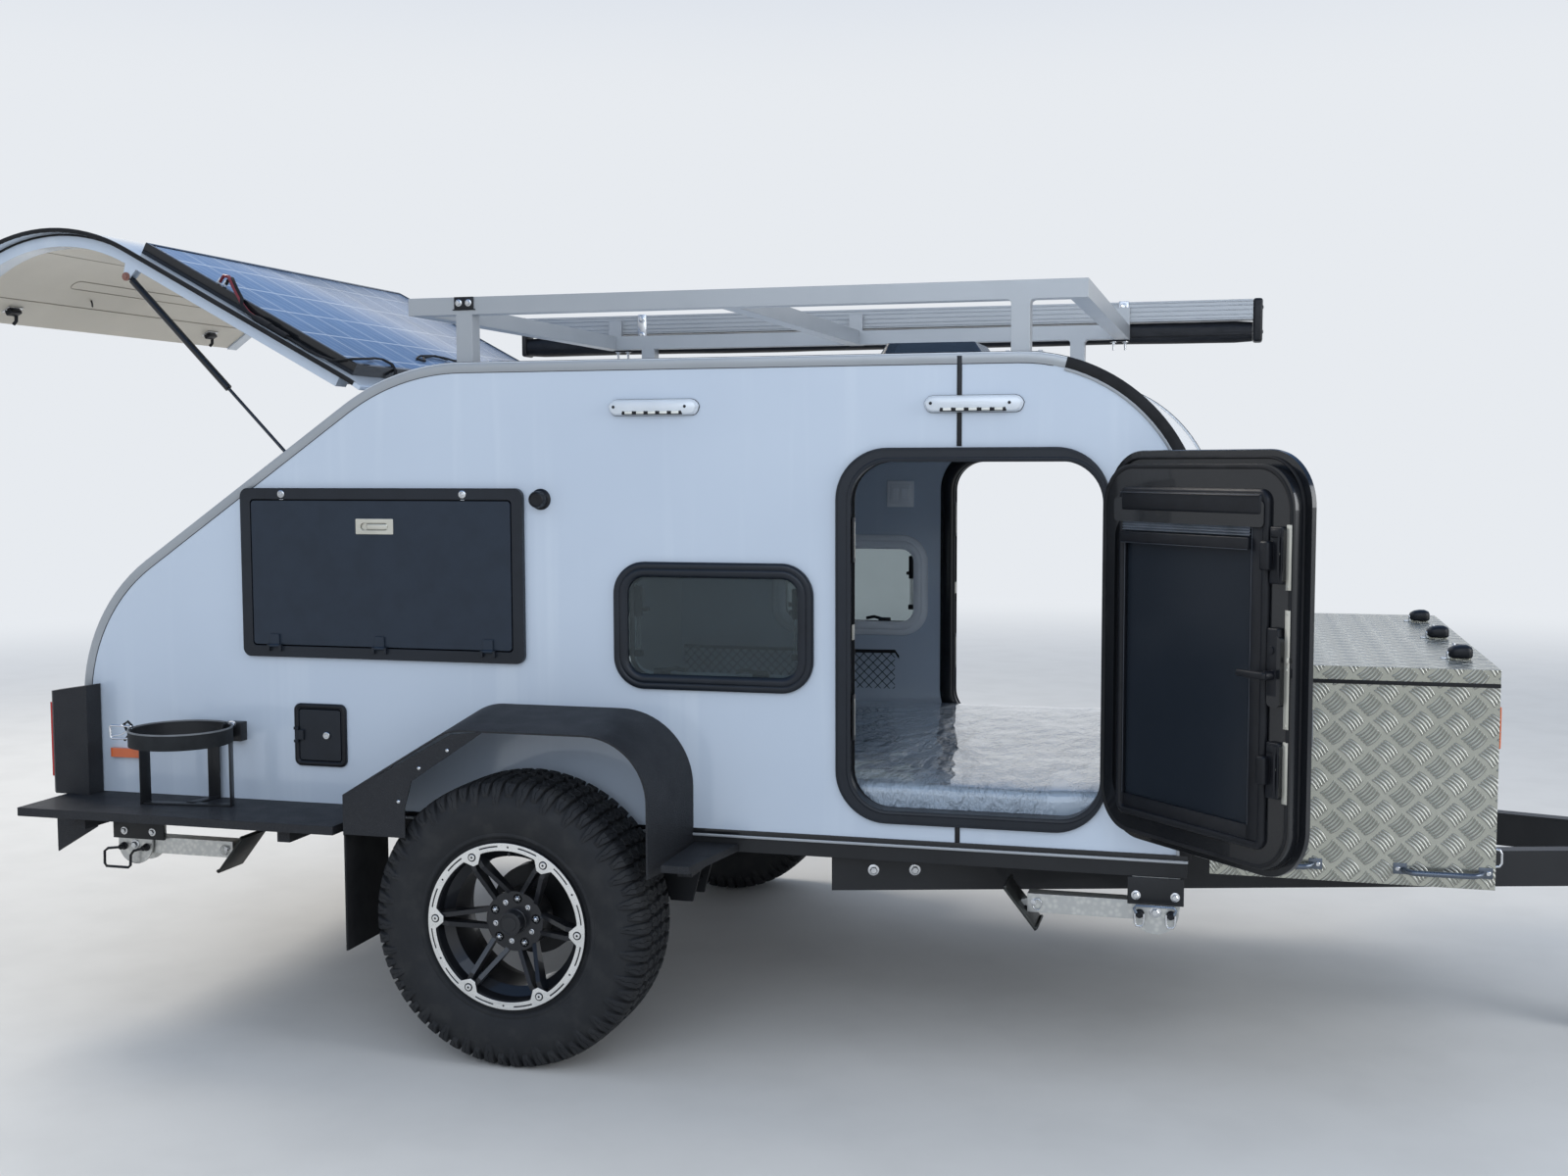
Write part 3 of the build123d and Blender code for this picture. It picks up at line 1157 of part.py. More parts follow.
with BuildPart() as toolbox_lid:
    low = toolbox_rim_z + 2
    block((toolbox_rear_x, toolbox_front_x), (-toolbox_half, toolbox_half), (low, low + lid_height))
    block((toolbox_rear_x + sheet, toolbox_front_x - sheet), (-toolbox_half + sheet, toolbox_half - sheet),
          (low - 10, low + lid_height - sheet), Mode.SUBTRACT)
    knob_y = toolbox_half - knob_inset
    for y in (-knob_y, 0, knob_y):
        block((toolbox_front_x - 95, toolbox_front_x - 45), (y - 12, y + 12), (low + lid_height, low + lid_height + 8))
        cylinder((toolbox_front_x - 84, y, low + lid_height + 20), (1, 0, 0), 12, 30)
        block((toolbox_front_x - 76, toolbox_front_x - 62), (y - 6, y + 6),
              (low + lid_height, low + lid_height + 20))
    for y in box_knuckles:
        block((toolbox_rear_x - 3, toolbox_rear_x), (y - knuckle_half, y + knuckle_half),
              (box_hinge[1], low + lid_height - 8))
        block((box_hinge[0], toolbox_rear_x - 1), (y - knuckle_half, y + knuckle_half),
              (box_hinge[1], box_hinge[1] + 4.5))
        knuckle_barrel((box_hinge[0], y, box_hinge[1]), (0, 1, 0), 4.5)
        knuckle_bore((box_hinge[0], y, box_hinge[1]), (0, 1, 0))
toolbox_lid.part.label = "toolbox_lid"
export_step(toolbox_lid.part, "parts/toolbox_lid.step")

# Roof rack: two long rails on legs, and three bars between them
rail_z = (rack_top_z - tube, rack_top_z)
rack_foot = 6
with BuildPart() as rack_rails:
    with BuildSketch(side_plane(-rack_half + tube, -1)) as rack_side:
        with BuildLine():
            corners = [(rack_rear_x, rail_z[0])]
            for place in rack_legs:
                leg_x = (axle_x + place - tube / 2, axle_x + place + tube / 2)
                corners += [(leg_x[0], rail_z[0]), (leg_x[0], roof_z + rack_foot), (leg_x[1], roof_z + rack_foot),
                            (leg_x[1], rail_z[0])]
            corners += [(rack_front_x, rail_z[0]), (rack_front_x, rail_z[1]), (rack_rear_x, rail_z[1])]
            Polyline(*corners, close=True)
        make_face()
        front_leg = axle_x + rack_legs[1]
        inner = rack_side.vertices().filter_by(lambda v: abs(v.Y - rail_z[0]) < 1 and abs(v.X - front_leg) < tube)
        fillet(inner, rack_fillet)
    extrude(rack_side.sketch, amount=tube)
    for place in rack_legs:
        foot_y = (-rack_half - rack_foot_lip, -rack_half + tube + 40)
        block((axle_x + place - 60, axle_x + place + 60), foot_y, (roof_z + fit, roof_z + rack_foot))
    mirror(rack_rails.part, about=Plane.XZ)
rack_rails.part.label = "rack_rails"
export_step(rack_rails.part, "parts/rack_rails.step")

with BuildPart() as rack_bars_part:
    for place in rack_bars:
        block((axle_x + place - tube / 2, axle_x + place + tube / 2), (-rack_half + tube, rack_half - tube), rail_z)
rack_bars_part.part.label = "rack_crossbars"
export_step(rack_bars_part.part, "parts/rack_crossbars.step")

# Awning on the left rail: an alloy back rail over a rolled vinyl bag, on three brackets
awning_y = (rack_half + 26, rack_half + 104)
with BuildPart() as awning_rail:
    block((awning_rear_x + 15, awning_front_x - 15), awning_y, (awning_top_z - 70, awning_top_z))
    block((awning_rear_x + 14, awning_front_x - 14), (awning_y[1] - 14, awning_y[1] + 1),
          (awning_top_z - 44, awning_top_z - 26), Mode.SUBTRACT)
    for place in rack_bars:
        block((axle_x + place - 25, axle_x + place + 25), (rack_half + fit, awning_y[0]),
              (rack_top_z - tube, awning_top_z - 20))
awning_rail.part.label = "awning_rail"
export_step(awning_rail.part, "parts/awning_rail.step")

with BuildPart() as awning_bag:
    bag_y = (awning_y[0] + awning_y[1]) / 2
    with BuildSketch(Plane(origin=(awning_rear_x, bag_y, awning_top_z - 110), x_dir=(0, 1, 0),
                           z_dir=(1, 0, 0))) as bag_outline:
        RectangleRounded(76, 79, 30)
    extrude(bag_outline.sketch, amount=awning_front_x - awning_rear_x)
awning_bag.part.label = "awning_bag"
export_step(awning_bag.part, "parts/awning_bag.step")

# Roof vent: a low dome on a square flange
vent_x = axle_x + 985
with BuildPart() as roof_vent:
    block((vent_x - 200, vent_x + 200), (-200, 200), (roof_z + fit, roof_z + 12))
    with BuildSketch(Plane.XY.offset(roof_z + 12)) as dome:
        with Locations((vent_x, 0)):
            RectangleRounded(370, 370, 60)
    extrude(dome.sketch, amount=70, taper=35)
roof_vent.part.label = "roof_vent"
export_step(roof_vent.part, "parts/roof_vent.step")

# Stabilisers: a bracket with two ears on the chassis, and a leg stored level between them
ear_gap = 30
with BuildPart() as stabiliser_mounts:
    for name, place, way in stabilisers:
        for side in (-1, 1):
            x = axle_x + place
            for y in (stabiliser_y - ear_gap - 6, stabiliser_y + ear_gap):
                low_y, high_y = sorted((side * y, side * (y + 6)))
                plane = Plane(origin=(0, high_y, 0), x_dir=(1, 0, 0), z_dir=(0, -1, 0))
                with BuildSketch(plane) as ear:
                    with BuildLine():
                        Polyline((x - 60, rail_top_z - 6), (x + 60, rail_top_z - 6), (x + 60, stabiliser_pivot_z),
                                 (x - 60, stabiliser_pivot_z), close=True)
                    make_face()
                    with Locations((x, stabiliser_pivot_z)):
                        Circle(60)
                extrude(ear.sketch, amount=high_y - low_y)
            low_y, high_y = sorted((side * (stabiliser_y - ear_gap - 6), side * (stabiliser_y + ear_gap + 6)))
            block((x - 60, x + 60), (low_y, high_y), (rail_top_z - 6, rail_top_z))
            cylinder((x, low_y, stabiliser_pivot_z), (0, 1, 0), 8, high_y - low_y)
stabiliser_mounts.part.label = "stabiliser_mounts"
export_step(stabiliser_mounts.part, "parts/stabiliser_mounts.step")

leg_length = 335
leg_tube = 50
for name, place, way in stabilisers:
    for side, hand in ((-1, "right"), (1, "left")):
        x = axle_x + place
        y = side * stabiliser_y
        with BuildPart() as leg:
            reach = sorted((x - way * 32, x + way * leg_length))
            block(reach, (y - leg_tube / 2, y + leg_tube / 2),
                  (stabiliser_pivot_z - leg_tube / 2, stabiliser_pivot_z + leg_tube / 2))
            cylinder((x, y - 60, stabiliser_pivot_z), (0, 1, 0), 8 + fit, 120, Mode.SUBTRACT)
            foot_x = x + way * (leg_length + 14)
            lean = math.radians(52)
            foot_plane = Plane(origin=(foot_x, y, stabiliser_pivot_z - 6), x_dir=(0, 1, 0),
                               z_dir=(way * math.sin(lean), 0, -math.cos(lean)))
            with BuildSketch(foot_plane) as foot:
                RectangleRounded(130, 140, 10)
            extrude(foot.sketch, amount=5)
            ear_plane = Plane(origin=(0, y + 12, 0), x_dir=(1, 0, 0), z_dir=(0, -1, 0))
            plate(ear_plane, [(x + way * (leg_length - 20), stabiliser_pivot_z - 14),
                              (x + way * (leg_length - 20), stabiliser_pivot_z + 14),
                              (foot_x + way * 4, stabiliser_pivot_z + 4), (foot_x + way * 4, stabiliser_pivot_z - 10)],
                  24)
        label = "stabiliser_leg_" + name + "_" + hand
        leg.part.label = label
        export_step(leg.part, "parts/" + label + ".step")

# Jockey wheel: a sleeve on a plate between the drawbar rails, an inner tube that slides in it,
# a fork that swivels under it, and the wheel
sleeve_radius = 33
inner_radius = 24
fork_top_z = 2 * jockey_radius + 40
collar = 12
sleeve_low_z = fork_top_z + collar + jockey_travel + 8
sleeve_high_z = sleeve_low_z + 540
tube_top_z = sleeve_high_z - jockey_travel - 60
jockey_y_half = drawbar_half - drawbar_slope * (jockey_x - drawbar_rear_x) - rail_wide
with BuildPart() as jockey_sleeve:
    cylinder((jockey_x, 0, sleeve_low_z), (0, 0, 1), sleeve_radius, sleeve_high_z - sleeve_low_z)
    edge_slope = drawbar_slope * 45
    plate(Plane.XY.offset(rail_top_z + fit),
          [(jockey_x - 45, -jockey_y_half - edge_slope - 40), (jockey_x + 45, -jockey_y_half + edge_slope - 40),
           (jockey_x + 45, jockey_y_half - edge_slope + 40), (jockey_x - 45, jockey_y_half + edge_slope + 40)], 10)
    cylinder((jockey_x, 0, sleeve_low_z - 5), (0, 0, 1), inner_radius + 0.5,
             sleeve_high_z - sleeve_low_z - 20, Mode.SUBTRACT)
    cylinder((jockey_x, 0, sleeve_high_z), (0, 0, 1), 14, 26)
    block((jockey_x - 8, jockey_x + 120), (-6, 6), (sleeve_high_z + 14, sleeve_high_z + 26))
    cylinder((jockey_x + 112, 0, sleeve_high_z + 20), (0, 0, 1), 9, 80)
jockey_sleeve.part.label = "jockey_sleeve"
export_step(jockey_sleeve.part, "parts/jockey_sleeve.step")

with BuildPart() as jockey_tube:
    cylinder((jockey_x, 0, fork_top_z + collar), (0, 0, 1), inner_radius, tube_top_z - fork_top_z - collar)
    cylinder((jockey_x, 0, fork_top_z), (0, 0, 1), 34, collar)
jockey_tube.part.label = "jockey_tube"
export_step(jockey_tube.part, "parts/jockey_tube.step")

wheel_half = 38
jockey_wheel_x = jockey_x - jockey_offset
with BuildPart() as jockey_fork:
    block((jockey_x - 62, jockey_x + 34), (-wheel_half - 12, wheel_half + 12), (fork_top_z - 10 - fit, fork_top_z - fit))
    for side in (-1, 1):
        low_y, high_y = sorted((side * (wheel_half + 6), side * (wheel_half + 12)))
        plane = Plane(origin=(0, high_y, 0), x_dir=(1, 0, 0), z_dir=(0, -1, 0))
        plate(plane, [(jockey_x - 62, fork_top_z - fit), (jockey_x + 34, fork_top_z - fit),
                      (jockey_wheel_x + 22, jockey_radius - 18), (jockey_wheel_x - 22, jockey_radius - 18)], 6)
    cylinder((jockey_wheel_x, -wheel_half - 16, jockey_radius), (0, 1, 0), 8, 2 * (wheel_half + 16))
jockey_fork.part.label = "jockey_fork"
export_step(jockey_fork.part, "parts/jockey_fork.step")

with BuildPart() as jockey_wheel:
    with BuildSketch(Plane(origin=(jockey_wheel_x, 0, jockey_radius), x_dir=(0, 0, 1), z_dir=(1, 0, 0))) as jockey_half:
        with BuildLine():
            Line((8.3, -30), (8.3, 30))
            Line((8.3, 30), (22, 30))
            Line((22, 30), (30, 14))
            Line((30, 14), (70, 14))
            Line((70, 14), (74, 34))
            Line((74, 34), (jockey_radius - 11, 30))
            Line((jockey_radius - 11, 30), (jockey_radius, 16))
            Line((jockey_radius, 16), (jockey_radius, -16))
            Line((jockey_radius, -16), (jockey_radius - 11, -30))
            Line((jockey_radius - 11, -30), (74, -34))
            Line((74, -34), (70, -14))
            Line((70, -14), (30, -14))
            Line((30, -14), (22, -30))
            Line((22, -30), (8.3, -30))
        make_face()
    revolve(axis=Axis((jockey_wheel_x, 0, jockey_radius), (0, 1, 0)))
jockey_wheel.part.label = "jockey_wheel"
export_step(jockey_wheel.part, "parts/jockey_wheel.step")
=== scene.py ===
import bpy
import bmesh
import math
from mathutils import Matrix, Vector, noise


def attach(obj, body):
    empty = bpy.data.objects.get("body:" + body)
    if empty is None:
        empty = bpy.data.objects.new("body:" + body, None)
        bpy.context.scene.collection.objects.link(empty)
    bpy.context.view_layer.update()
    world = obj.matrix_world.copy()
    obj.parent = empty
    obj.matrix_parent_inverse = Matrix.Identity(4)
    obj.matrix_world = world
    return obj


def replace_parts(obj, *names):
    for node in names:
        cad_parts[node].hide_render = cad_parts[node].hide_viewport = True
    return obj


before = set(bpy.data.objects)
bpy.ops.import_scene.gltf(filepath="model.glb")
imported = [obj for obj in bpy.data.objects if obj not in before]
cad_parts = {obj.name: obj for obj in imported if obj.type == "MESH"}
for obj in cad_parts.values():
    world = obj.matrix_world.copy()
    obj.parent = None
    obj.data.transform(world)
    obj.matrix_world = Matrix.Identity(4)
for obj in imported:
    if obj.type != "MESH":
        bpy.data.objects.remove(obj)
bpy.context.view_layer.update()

# Lengths are in millimetres, and along the trailer they are counted from its axle
MM = 0.001
AXLE = -0.7704
TYRE_R = 401.5
TRACK = 1008.5
LID_SLOPE = math.radians(34.1)
LID_TURN = math.radians(62.5)
TAIL_LEAN = math.radians(7.3)
DOOR_TURN = math.radians(133.5)
MIRROR = Matrix.Diagonal((1, -1, 1, 1))


def at(x, y, z):
    """Place in the scene, in metres."""
    return Vector((AXLE + x * MM, y * MM, z * MM))


def polar(radius, degrees):
    return radius * math.cos(math.radians(degrees)), radius * math.sin(math.radians(degrees))


def add(name, data):
    """Puts a new object into the scene."""
    made = bpy.data.objects.new(name, data)
    bpy.context.scene.collection.objects.link(made)
    return made


# Camera: fitted to the photograph
camera_data = bpy.data.cameras.new("camera")
camera = add("camera", camera_data)
camera_data.lens = 38.6
camera_data.sensor_width = 36
camera_data.clip_end = 100
yaw, pitch, roll = math.radians(15.32), math.radians(4.28), math.radians(-0.16)
camera.matrix_world = (Matrix.Translation(at(1923, -5268, 1662)) @ Matrix.Rotation(yaw, 4, "Z")
                       @ Matrix.Rotation(math.pi / 2 - pitch, 4, "X") @ Matrix.Rotation(roll, 4, "Z"))
bpy.context.scene.camera = camera
bpy.context.scene.view_settings.view_transform = "Standard"


# Materials

class Sum:
    """A node socket that takes part in arithmetic, each step a math node."""

    def __init__(self, tree, socket):
        self.tree = tree
        self.socket = socket

    def step(self, operation, *others):
        node = self.tree.nodes.new("ShaderNodeMath")
        node.operation = operation
        self.tree.links.new(self.socket, node.inputs[0])
        for place, other in enumerate(others, 1):
            if isinstance(other, Sum):
                self.tree.links.new(other.socket, node.inputs[place])
            else:
                node.inputs[place].default_value = other
        return Sum(self.tree, node.outputs[0])

    def __add__(self, other):
        return self.step("ADD", other)

    def __sub__(self, other):
        return self.step("SUBTRACT", other)

    def __mul__(self, other):
        return self.step("MULTIPLY", other)

    def smooth(self, low, high):
        node = self.tree.nodes.new("ShaderNodeMapRange")
        node.interpolation_type = "SMOOTHSTEP"
        self.tree.links.new(self.socket, node.inputs[0])
        node.inputs[1].default_value = low
        node.inputs[2].default_value = high
        return Sum(self.tree, node.outputs[0])

    def cell(self, pitch, shift=0.0):
        """Place in one cell of a pattern that repeats, from -0.5 to 0.5."""
        return (self * (1 / (pitch * MM)) + shift).step("FRACT") - 0.5

    def line(self, pitch, low, high):
        """A thin line along the edge or the middle of each cell."""
        return self.cell(pitch).step("ABSOLUTE").smooth(low, high)


def split(tree, socket):
    """The three parts of a vector."""
    node = tree.nodes.new("ShaderNodeSeparateXYZ")
    tree.links.new(socket, node.inputs[0])
    return [Sum(tree, output) for output in node.outputs]


class Paint:
    """A procedural material on one principled shader, built up step by step."""

    def __init__(self, name, colour, rough=0.5, metal=0.0, coat=0.0, bevel=1.5):
        self.material = bpy.data.materials.new(name)
        self.material.use_nodes = True
        self.tree = self.material.node_tree
        self.shader = self.tree.nodes["Principled BSDF"]
        self.shader.inputs["Base Color"].default_value = (*colour, 1)
        self.shader.inputs["Roughness"].default_value = rough
        self.shader.inputs["Metallic"].default_value = metal
        self.shader.inputs["Coat Weight"].default_value = coat
        if max(colour) < 0.06:
            self.shader.inputs["Specular IOR Level"].default_value = 0.3
        self.normal = None
        if bevel:
            node = self.tree.nodes.new("ShaderNodeBevel")
            node.samples = 4
            node.inputs["Radius"].default_value = bevel * MM
            self.normal = node.outputs[0]
            self.tree.links.new(self.normal, self.shader.inputs["Normal"])

    def place(self, scale=(1, 1, 1)):
        """Coordinates of the object, stretched."""
        source = self.tree.nodes.new("ShaderNodeTexCoord")
        mapping = self.tree.nodes.new("ShaderNodeMapping")
        mapping.inputs["Scale"].default_value = scale
        self.tree.links.new(source.outputs["Object"], mapping.inputs[0])
        return mapping.outputs[0]

    def texture(self, kind, size, stretch=(1, 1, 1)):
        """Texture whose cells are about that size."""
        node = self.tree.nodes.new(kind)
        node.inputs["Scale"].default_value = 1 / (size * MM)
        self.tree.links.new(self.place(stretch), node.inputs["Vector"])
        return node

    def noise(self, size, stretch=(1, 1, 1), detail=4, rough=0.55):
        node = self.texture("ShaderNodeTexNoise", size, stretch)
        node.inputs["Detail"].default_value = detail
        node.inputs["Roughness"].default_value = rough
        return Sum(self.tree, node.outputs["Fac"])

    def tint(self, factor, colour):
        """Mixes another colour in where the factor is high."""
        node = self.tree.nodes.new("ShaderNodeMix")
        node.data_type = "RGBA"
        old = self.shader.inputs["Base Color"]
        if old.links:
            self.tree.links.new(old.links[0].from_socket, node.inputs[6])
        else:
            node.inputs[6].default_value = old.default_value
        node.inputs[7].default_value = (*colour, 1)
        self.tree.links.new(factor.socket, node.inputs[0])
        self.tree.links.new(node.outputs[2], old)

    def roughen(self, factor, low, high):
        node = self.tree.nodes.new("ShaderNodeMapRange")
        self.tree.links.new(factor.socket, node.inputs[0])
        node.inputs[3].default_value = low
        node.inputs[4].default_value = high
        self.tree.links.new(node.outputs[0], self.shader.inputs["Roughness"])

    def bump(self, height, depth, strength=1.0):
        node = self.tree.nodes.new("ShaderNodeBump")
        node.inputs["Strength"].default_value = strength
        node.inputs["Distance"].default_value = depth * MM
        self.tree.links.new(height.socket, node.inputs["Height"])
        if self.normal:
            self.tree.links.new(self.normal, node.inputs["Normal"])
        self.normal = node.outputs[0]
        self.tree.links.new(self.normal, self.shader.inputs["Normal"])


def varied(name, colour, rough, metal=0.0, coat=0.0, bevel=1.5, grain=4, vary=0.25, relief=0.0):
    """Paint with fine colour, gloss and relief variation."""
    made = Paint(name, colour, rough, metal, coat, bevel)
    fine = made.noise(grain, detail=5)
    broad = made.noise(grain * 30, detail=3)
    made.tint(broad.smooth(0.35, 0.75) * 0.8, [c * (1 - vary) for c in colour])
    made.roughen(fine * 0.5 + broad * 0.5, max(rough - 0.12, 0.03), min(rough + 0.14, 1))
    if relief:
        made.bump(fine, relief)
    return made


def plain(*values):
    return varied(*values).material


gel = Paint("white_gel", (0.54, 0.61, 0.70), 0.16, 0, 0.6, 2)
gel.tint(gel.noise(110, (1, 1, 0.05), 3).smooth(0.52, 0.72) * 0.35, (0.68, 0.74, 0.80))
gel.tint(gel.noise(900, detail=3).smooth(0.4, 0.7) * 0.35, (0.47, 0.54, 0.64))
gel.roughen(gel.noise(50, (1, 1, 0.1)), 0.1, 0.26)
gel.bump(gel.noise(300, detail=2), 2, 0.25)
white_gel = gel.material

alloy = Paint("satin_alloy", (0.37, 0.39, 0.41), 0.4, 0.4, 0, 2)
alloy.roughen(alloy.noise(4, (0.05, 1, 1)), 0.28, 0.46)
alloy.tint(alloy.noise(200).smooth(0.4, 0.75) * 0.3, (0.30, 0.32, 0.34))
satin_alloy = alloy.material

# Name, colour, roughness, metal, coat, bevel, grain, variation and relief
white_trim = plain("white_trim", (0.70, 0.74, 0.78), 0.32, 0.15, 0.2, 1, 6, 0.12)
bright_white = plain("bright_white", (0.86, 0.88, 0.90), 0.3, 0, 0.2, 1, 6, 0.06)
ply = plain("floor_ply", (0.20, 0.18, 0.16), 0.7, 0, 0, 0, 10, 0.3)
laminate = plain("white_laminate", (0.66, 0.67, 0.66), 0.38, 0, 0.1, 1, 10, 0.06, 0.1)
dark_frame = plain("navy_frame", (0.010, 0.014, 0.021), 0.36, 0, 0.08, 4, 3, 0.3, 0.1)
slate = plain("slate_panel", (0.014, 0.024, 0.040), 0.4, 0, 0.1, 2, 2, 0.2, 0.1)
black_plastic = plain("black_plastic", (0.008, 0.009, 0.012), 0.4, 0, 0, 1.5, 1.5, 0.4, 0.1)
rubber = plain("black_rubber", (0.014, 0.014, 0.015), 0.72, 0, 0, 1, 2, 0.5, 0.2)
steel = plain("bright_steel", (0.62, 0.63, 0.64), 0.24, 0.95, 0, 0.6, 3, 0.3)
silver_bar = plain("silver_bar", (0.62, 0.60, 0.52), 0.35, 0.6, 0, 1, 4, 0.2)
chrome = plain("chrome_rod", (0.75, 0.75, 0.76), 0.1, 1, 0, 0.5, 3, 0.1)
dark_rod = plain("dark_rod", (0.05, 0.055, 0.065), 0.2, 0.9, 0, 0.5, 3, 0.2)
gloss_black = plain("gloss_black", (0.008, 0.009, 0.011), 0.2, 0, 0.35, 1, 4, 0.2)
grey_film = plain("blind_band", (0.16, 0.18, 0.21), 0.35, 0.2, 0, 1, 3, 0.4, 0.2)
liner_cream = plain("cream_liner", (0.66, 0.62, 0.54), 0.4, 0, 0.15, 2, 20, 0.12, 0.3)
liner_shade = plain("liner_shade", (0.40, 0.36, 0.30), 0.5, 0, 0, 0, 20)
lens_amber = plain("amber_lens", (0.72, 0.14, 0.03), 0.22, 0, 0.6, 1, 6, 0.35)
pale_lens = plain("pale_lens", (0.80, 0.80, 0.74), 0.12, 0, 0.6, 0.5, 4, 0.2)
# Painted highlight: a lighter grey for thin lines along the edges of the doors' black frames
worn_edge = plain("worn_edge", (0.09, 0.10, 0.12), 0.3, 0.2, 0.2, 0.5, 4, 0.4)
red_wire = plain("dark_red_lead", (0.20, 0.02, 0.025), 0.4, 0, 0.2, 0, 3, 0.3)
primer = plain("primer_bracket", (0.30, 0.14, 0.11), 0.5, 0.1, 0, 0.8, 4, 0.3)
pull_steel = plain("blue_grey_steel", (0.13, 0.15, 0.18), 0.28, 0.8, 0.1, 1, 4, 0.25)
grey_latch = plain("grey_latch", (0.16, 0.17, 0.18), 0.36, 0.2, 0.1, 1, 4, 0.3)
black_strap = plain("black_webbing", (0.016, 0.018, 0.020), 0.75, 0, 0, 0, 1.6, 0.4, 0.3)
grey_strap = plain("grey_webbing", (0.17, 0.18, 0.19), 0.7, 0, 0, 0, 2, 0.3)
blue_steel = plain("blue_steel", (0.22, 0.27, 0.34), 0.28, 0.8, 0, 0.6, 3, 0.3)
foot_steel = plain("foot_steel", (0.045, 0.047, 0.045), 0.42, 0.6, 0, 1.2, 10, 0.5, 0.3)
chassis = plain("chassis_black", (0.014, 0.015, 0.017), 0.45, 0, 0.1, 2, 6, 0.4, 0.2)
rim_black = plain("satin_black_rim", (0.013, 0.014, 0.017), 0.3, 0.1, 0.35, 2, 10, 0.3)

# Tail lenses: amber, and red behind a place along the trailer
lens_pair = varied("tail_lenses", (0.72, 0.14, 0.03), 0.22, 0, 0.6, 1, 6, 0.35)
scene_place = lens_pair.tree.nodes.new("ShaderNodeNewGeometry").outputs["Position"]
lens_pair.tint(split(lens_pair.tree, scene_place)[0].step("LESS_THAN", AXLE - 1.55), (0.42, 0.012, 0.010))

coat = Paint("textured_black", (0.020, 0.021, 0.024), 0.62, 0, 0.05, 2)
pits = coat.noise(3.5, detail=3)
coat.bump(pits.smooth(0.35, 0.7), 1.1)
coat.tint(pits.smooth(0.55, 0.8) * 0.8, (0.05, 0.055, 0.062))
coat.roughen(coat.noise(80), 0.45, 0.75)
textured_black = coat.material

galvanised = Paint("galvanised", (0.60, 0.60, 0.57), 0.36, 0.85, 0, 1)
spangle = Sum(galvanised.tree, galvanised.texture("ShaderNodeTexVoronoi", 14).outputs["Distance"])
galvanised.tint(spangle.smooth(0.1, 0.7) * 0.6, (0.40, 0.41, 0.41))
galvanised.roughen(galvanised.noise(20), 0.25, 0.5)
zinc = galvanised.material

tyre_paint = Paint("tyre_rubber", (0.017, 0.018, 0.020), 0.7, 0, 0, 0)
tyre_paint.tint(tyre_paint.noise(60).smooth(0.45, 0.7) * 0.55, (0.036, 0.036, 0.036))
tyre_paint.bump(tyre_paint.noise(2.5), 0.4)
tyre_paint.roughen(tyre_paint.noise(30), 0.55, 0.85)
tyre_rubber = tyre_paint.material

machined = Paint("machined_ring", (0.78, 0.77, 0.74), 0.28, 0.75, 0.2, 0.8)
machined.tint(machined.noise(30).smooth(0.4, 0.7) * 0.3, (0.6, 0.6, 0.58))
machined.roughen(machined.noise(2), 0.2, 0.4)

# Five-bar tread plate: groups of bars that lean either way, raised in the bump only, with a painted highlight
# on the bars and painted shade between them
tread = Paint("tread_plate", (0.44, 0.44, 0.38), 0.3, 0.85, 0, 1.5)
facing = split(tread.tree, tread.tree.nodes.new("ShaderNodeTexCoord").outputs["Normal"])
endways, upright = [facing[i].step("ABSOLUTE").step("GREATER_THAN", 0.6) for i in (0, 2)]
px, py, pz = split(tread.tree, tread.place())
run_u = px + (py - px) * endways
run_v = pz + (py - pz) * upright
GROUP_U, GROUP_V = 84, 77


def tread_group(shift, lean):
    """Groups of five curved bars on a lattice: how much of a bar is here, and whether a group is."""
    u = run_u.cell(GROUP_U, 100.0 + shift) * (GROUP_U * MM)
    v = run_v.cell(GROUP_V, 100.0 + shift) * (GROUP_V * MM)
    along = (u + v * lean) * 0.7071
    across = (u - v * lean) * 0.7071 + along * along * 8.0
    reach = along.step("ABSOLUTE") * (1 / 0.0245)
    stripe = across.cell(8.8, 20.5).step("ABSOLUTE")
    group = reach.smooth(1.0, 0.9) * across.step("ABSOLUTE").smooth(0.0224, 0.0212)
    bar = (stripe + reach * reach * 0.16).smooth(0.34, 0.16) * group
    return bar, group


bars_a, group_a = tread_group(0.0, 1.0)
bars_b, group_b = tread_group(0.5, -1.0)
bars = bars_a.step("MAXIMUM", bars_b)
groups = group_a.step("MAXIMUM", group_b)
tread.bump(bars, 3.2)
tread.tint(tread.noise(250).smooth(0.35, 0.7) * 0.35, (0.36, 0.36, 0.30))
# Painted shade: the plate between the bars of a group is darkened
tread.tint((groups - bars) * 0.55, (0.17, 0.17, 0.15))
# Painted highlight: the bars themselves are lightened
tread.tint(bars * 0.45, (0.66, 0.66, 0.62))
tread.roughen(bars * 0.6 + tread.noise(10) * 0.4, 0.2, 0.4)

# Solar panel: wide pale cells under glass, with thin lines that run down the lid
CELL = 157
cells = Paint("solar_cells", (0.15, 0.23, 0.38), 0.42, 0, 0.12, 0)
turned = cells.tree.nodes.new("ShaderNodeVectorRotate")
turned.rotation_type = "Y_AXIS"
turned.inputs["Angle"].default_value = LID_SLOPE - LID_TURN
cells.tree.links.new(cells.place(), turned.inputs["Vector"])
down, wide = split(cells.tree, turned.outputs[0])[:2]
gaps = wide.line(CELL, 0.47, 0.495).step("MAXIMUM", down.line(CELL, 0.47, 0.495))
cells.tint(cells.noise(90).smooth(0.3, 0.7) * 0.4, (0.10, 0.16, 0.28))
cells.tint(wide.line(39.3, 0.06, 0.0) * 0.55, (0.50, 0.55, 0.62))
cells.tint(gaps * 0.8, (0.62, 0.67, 0.74))
cells.roughen(cells.noise(200), 0.1, 0.3)


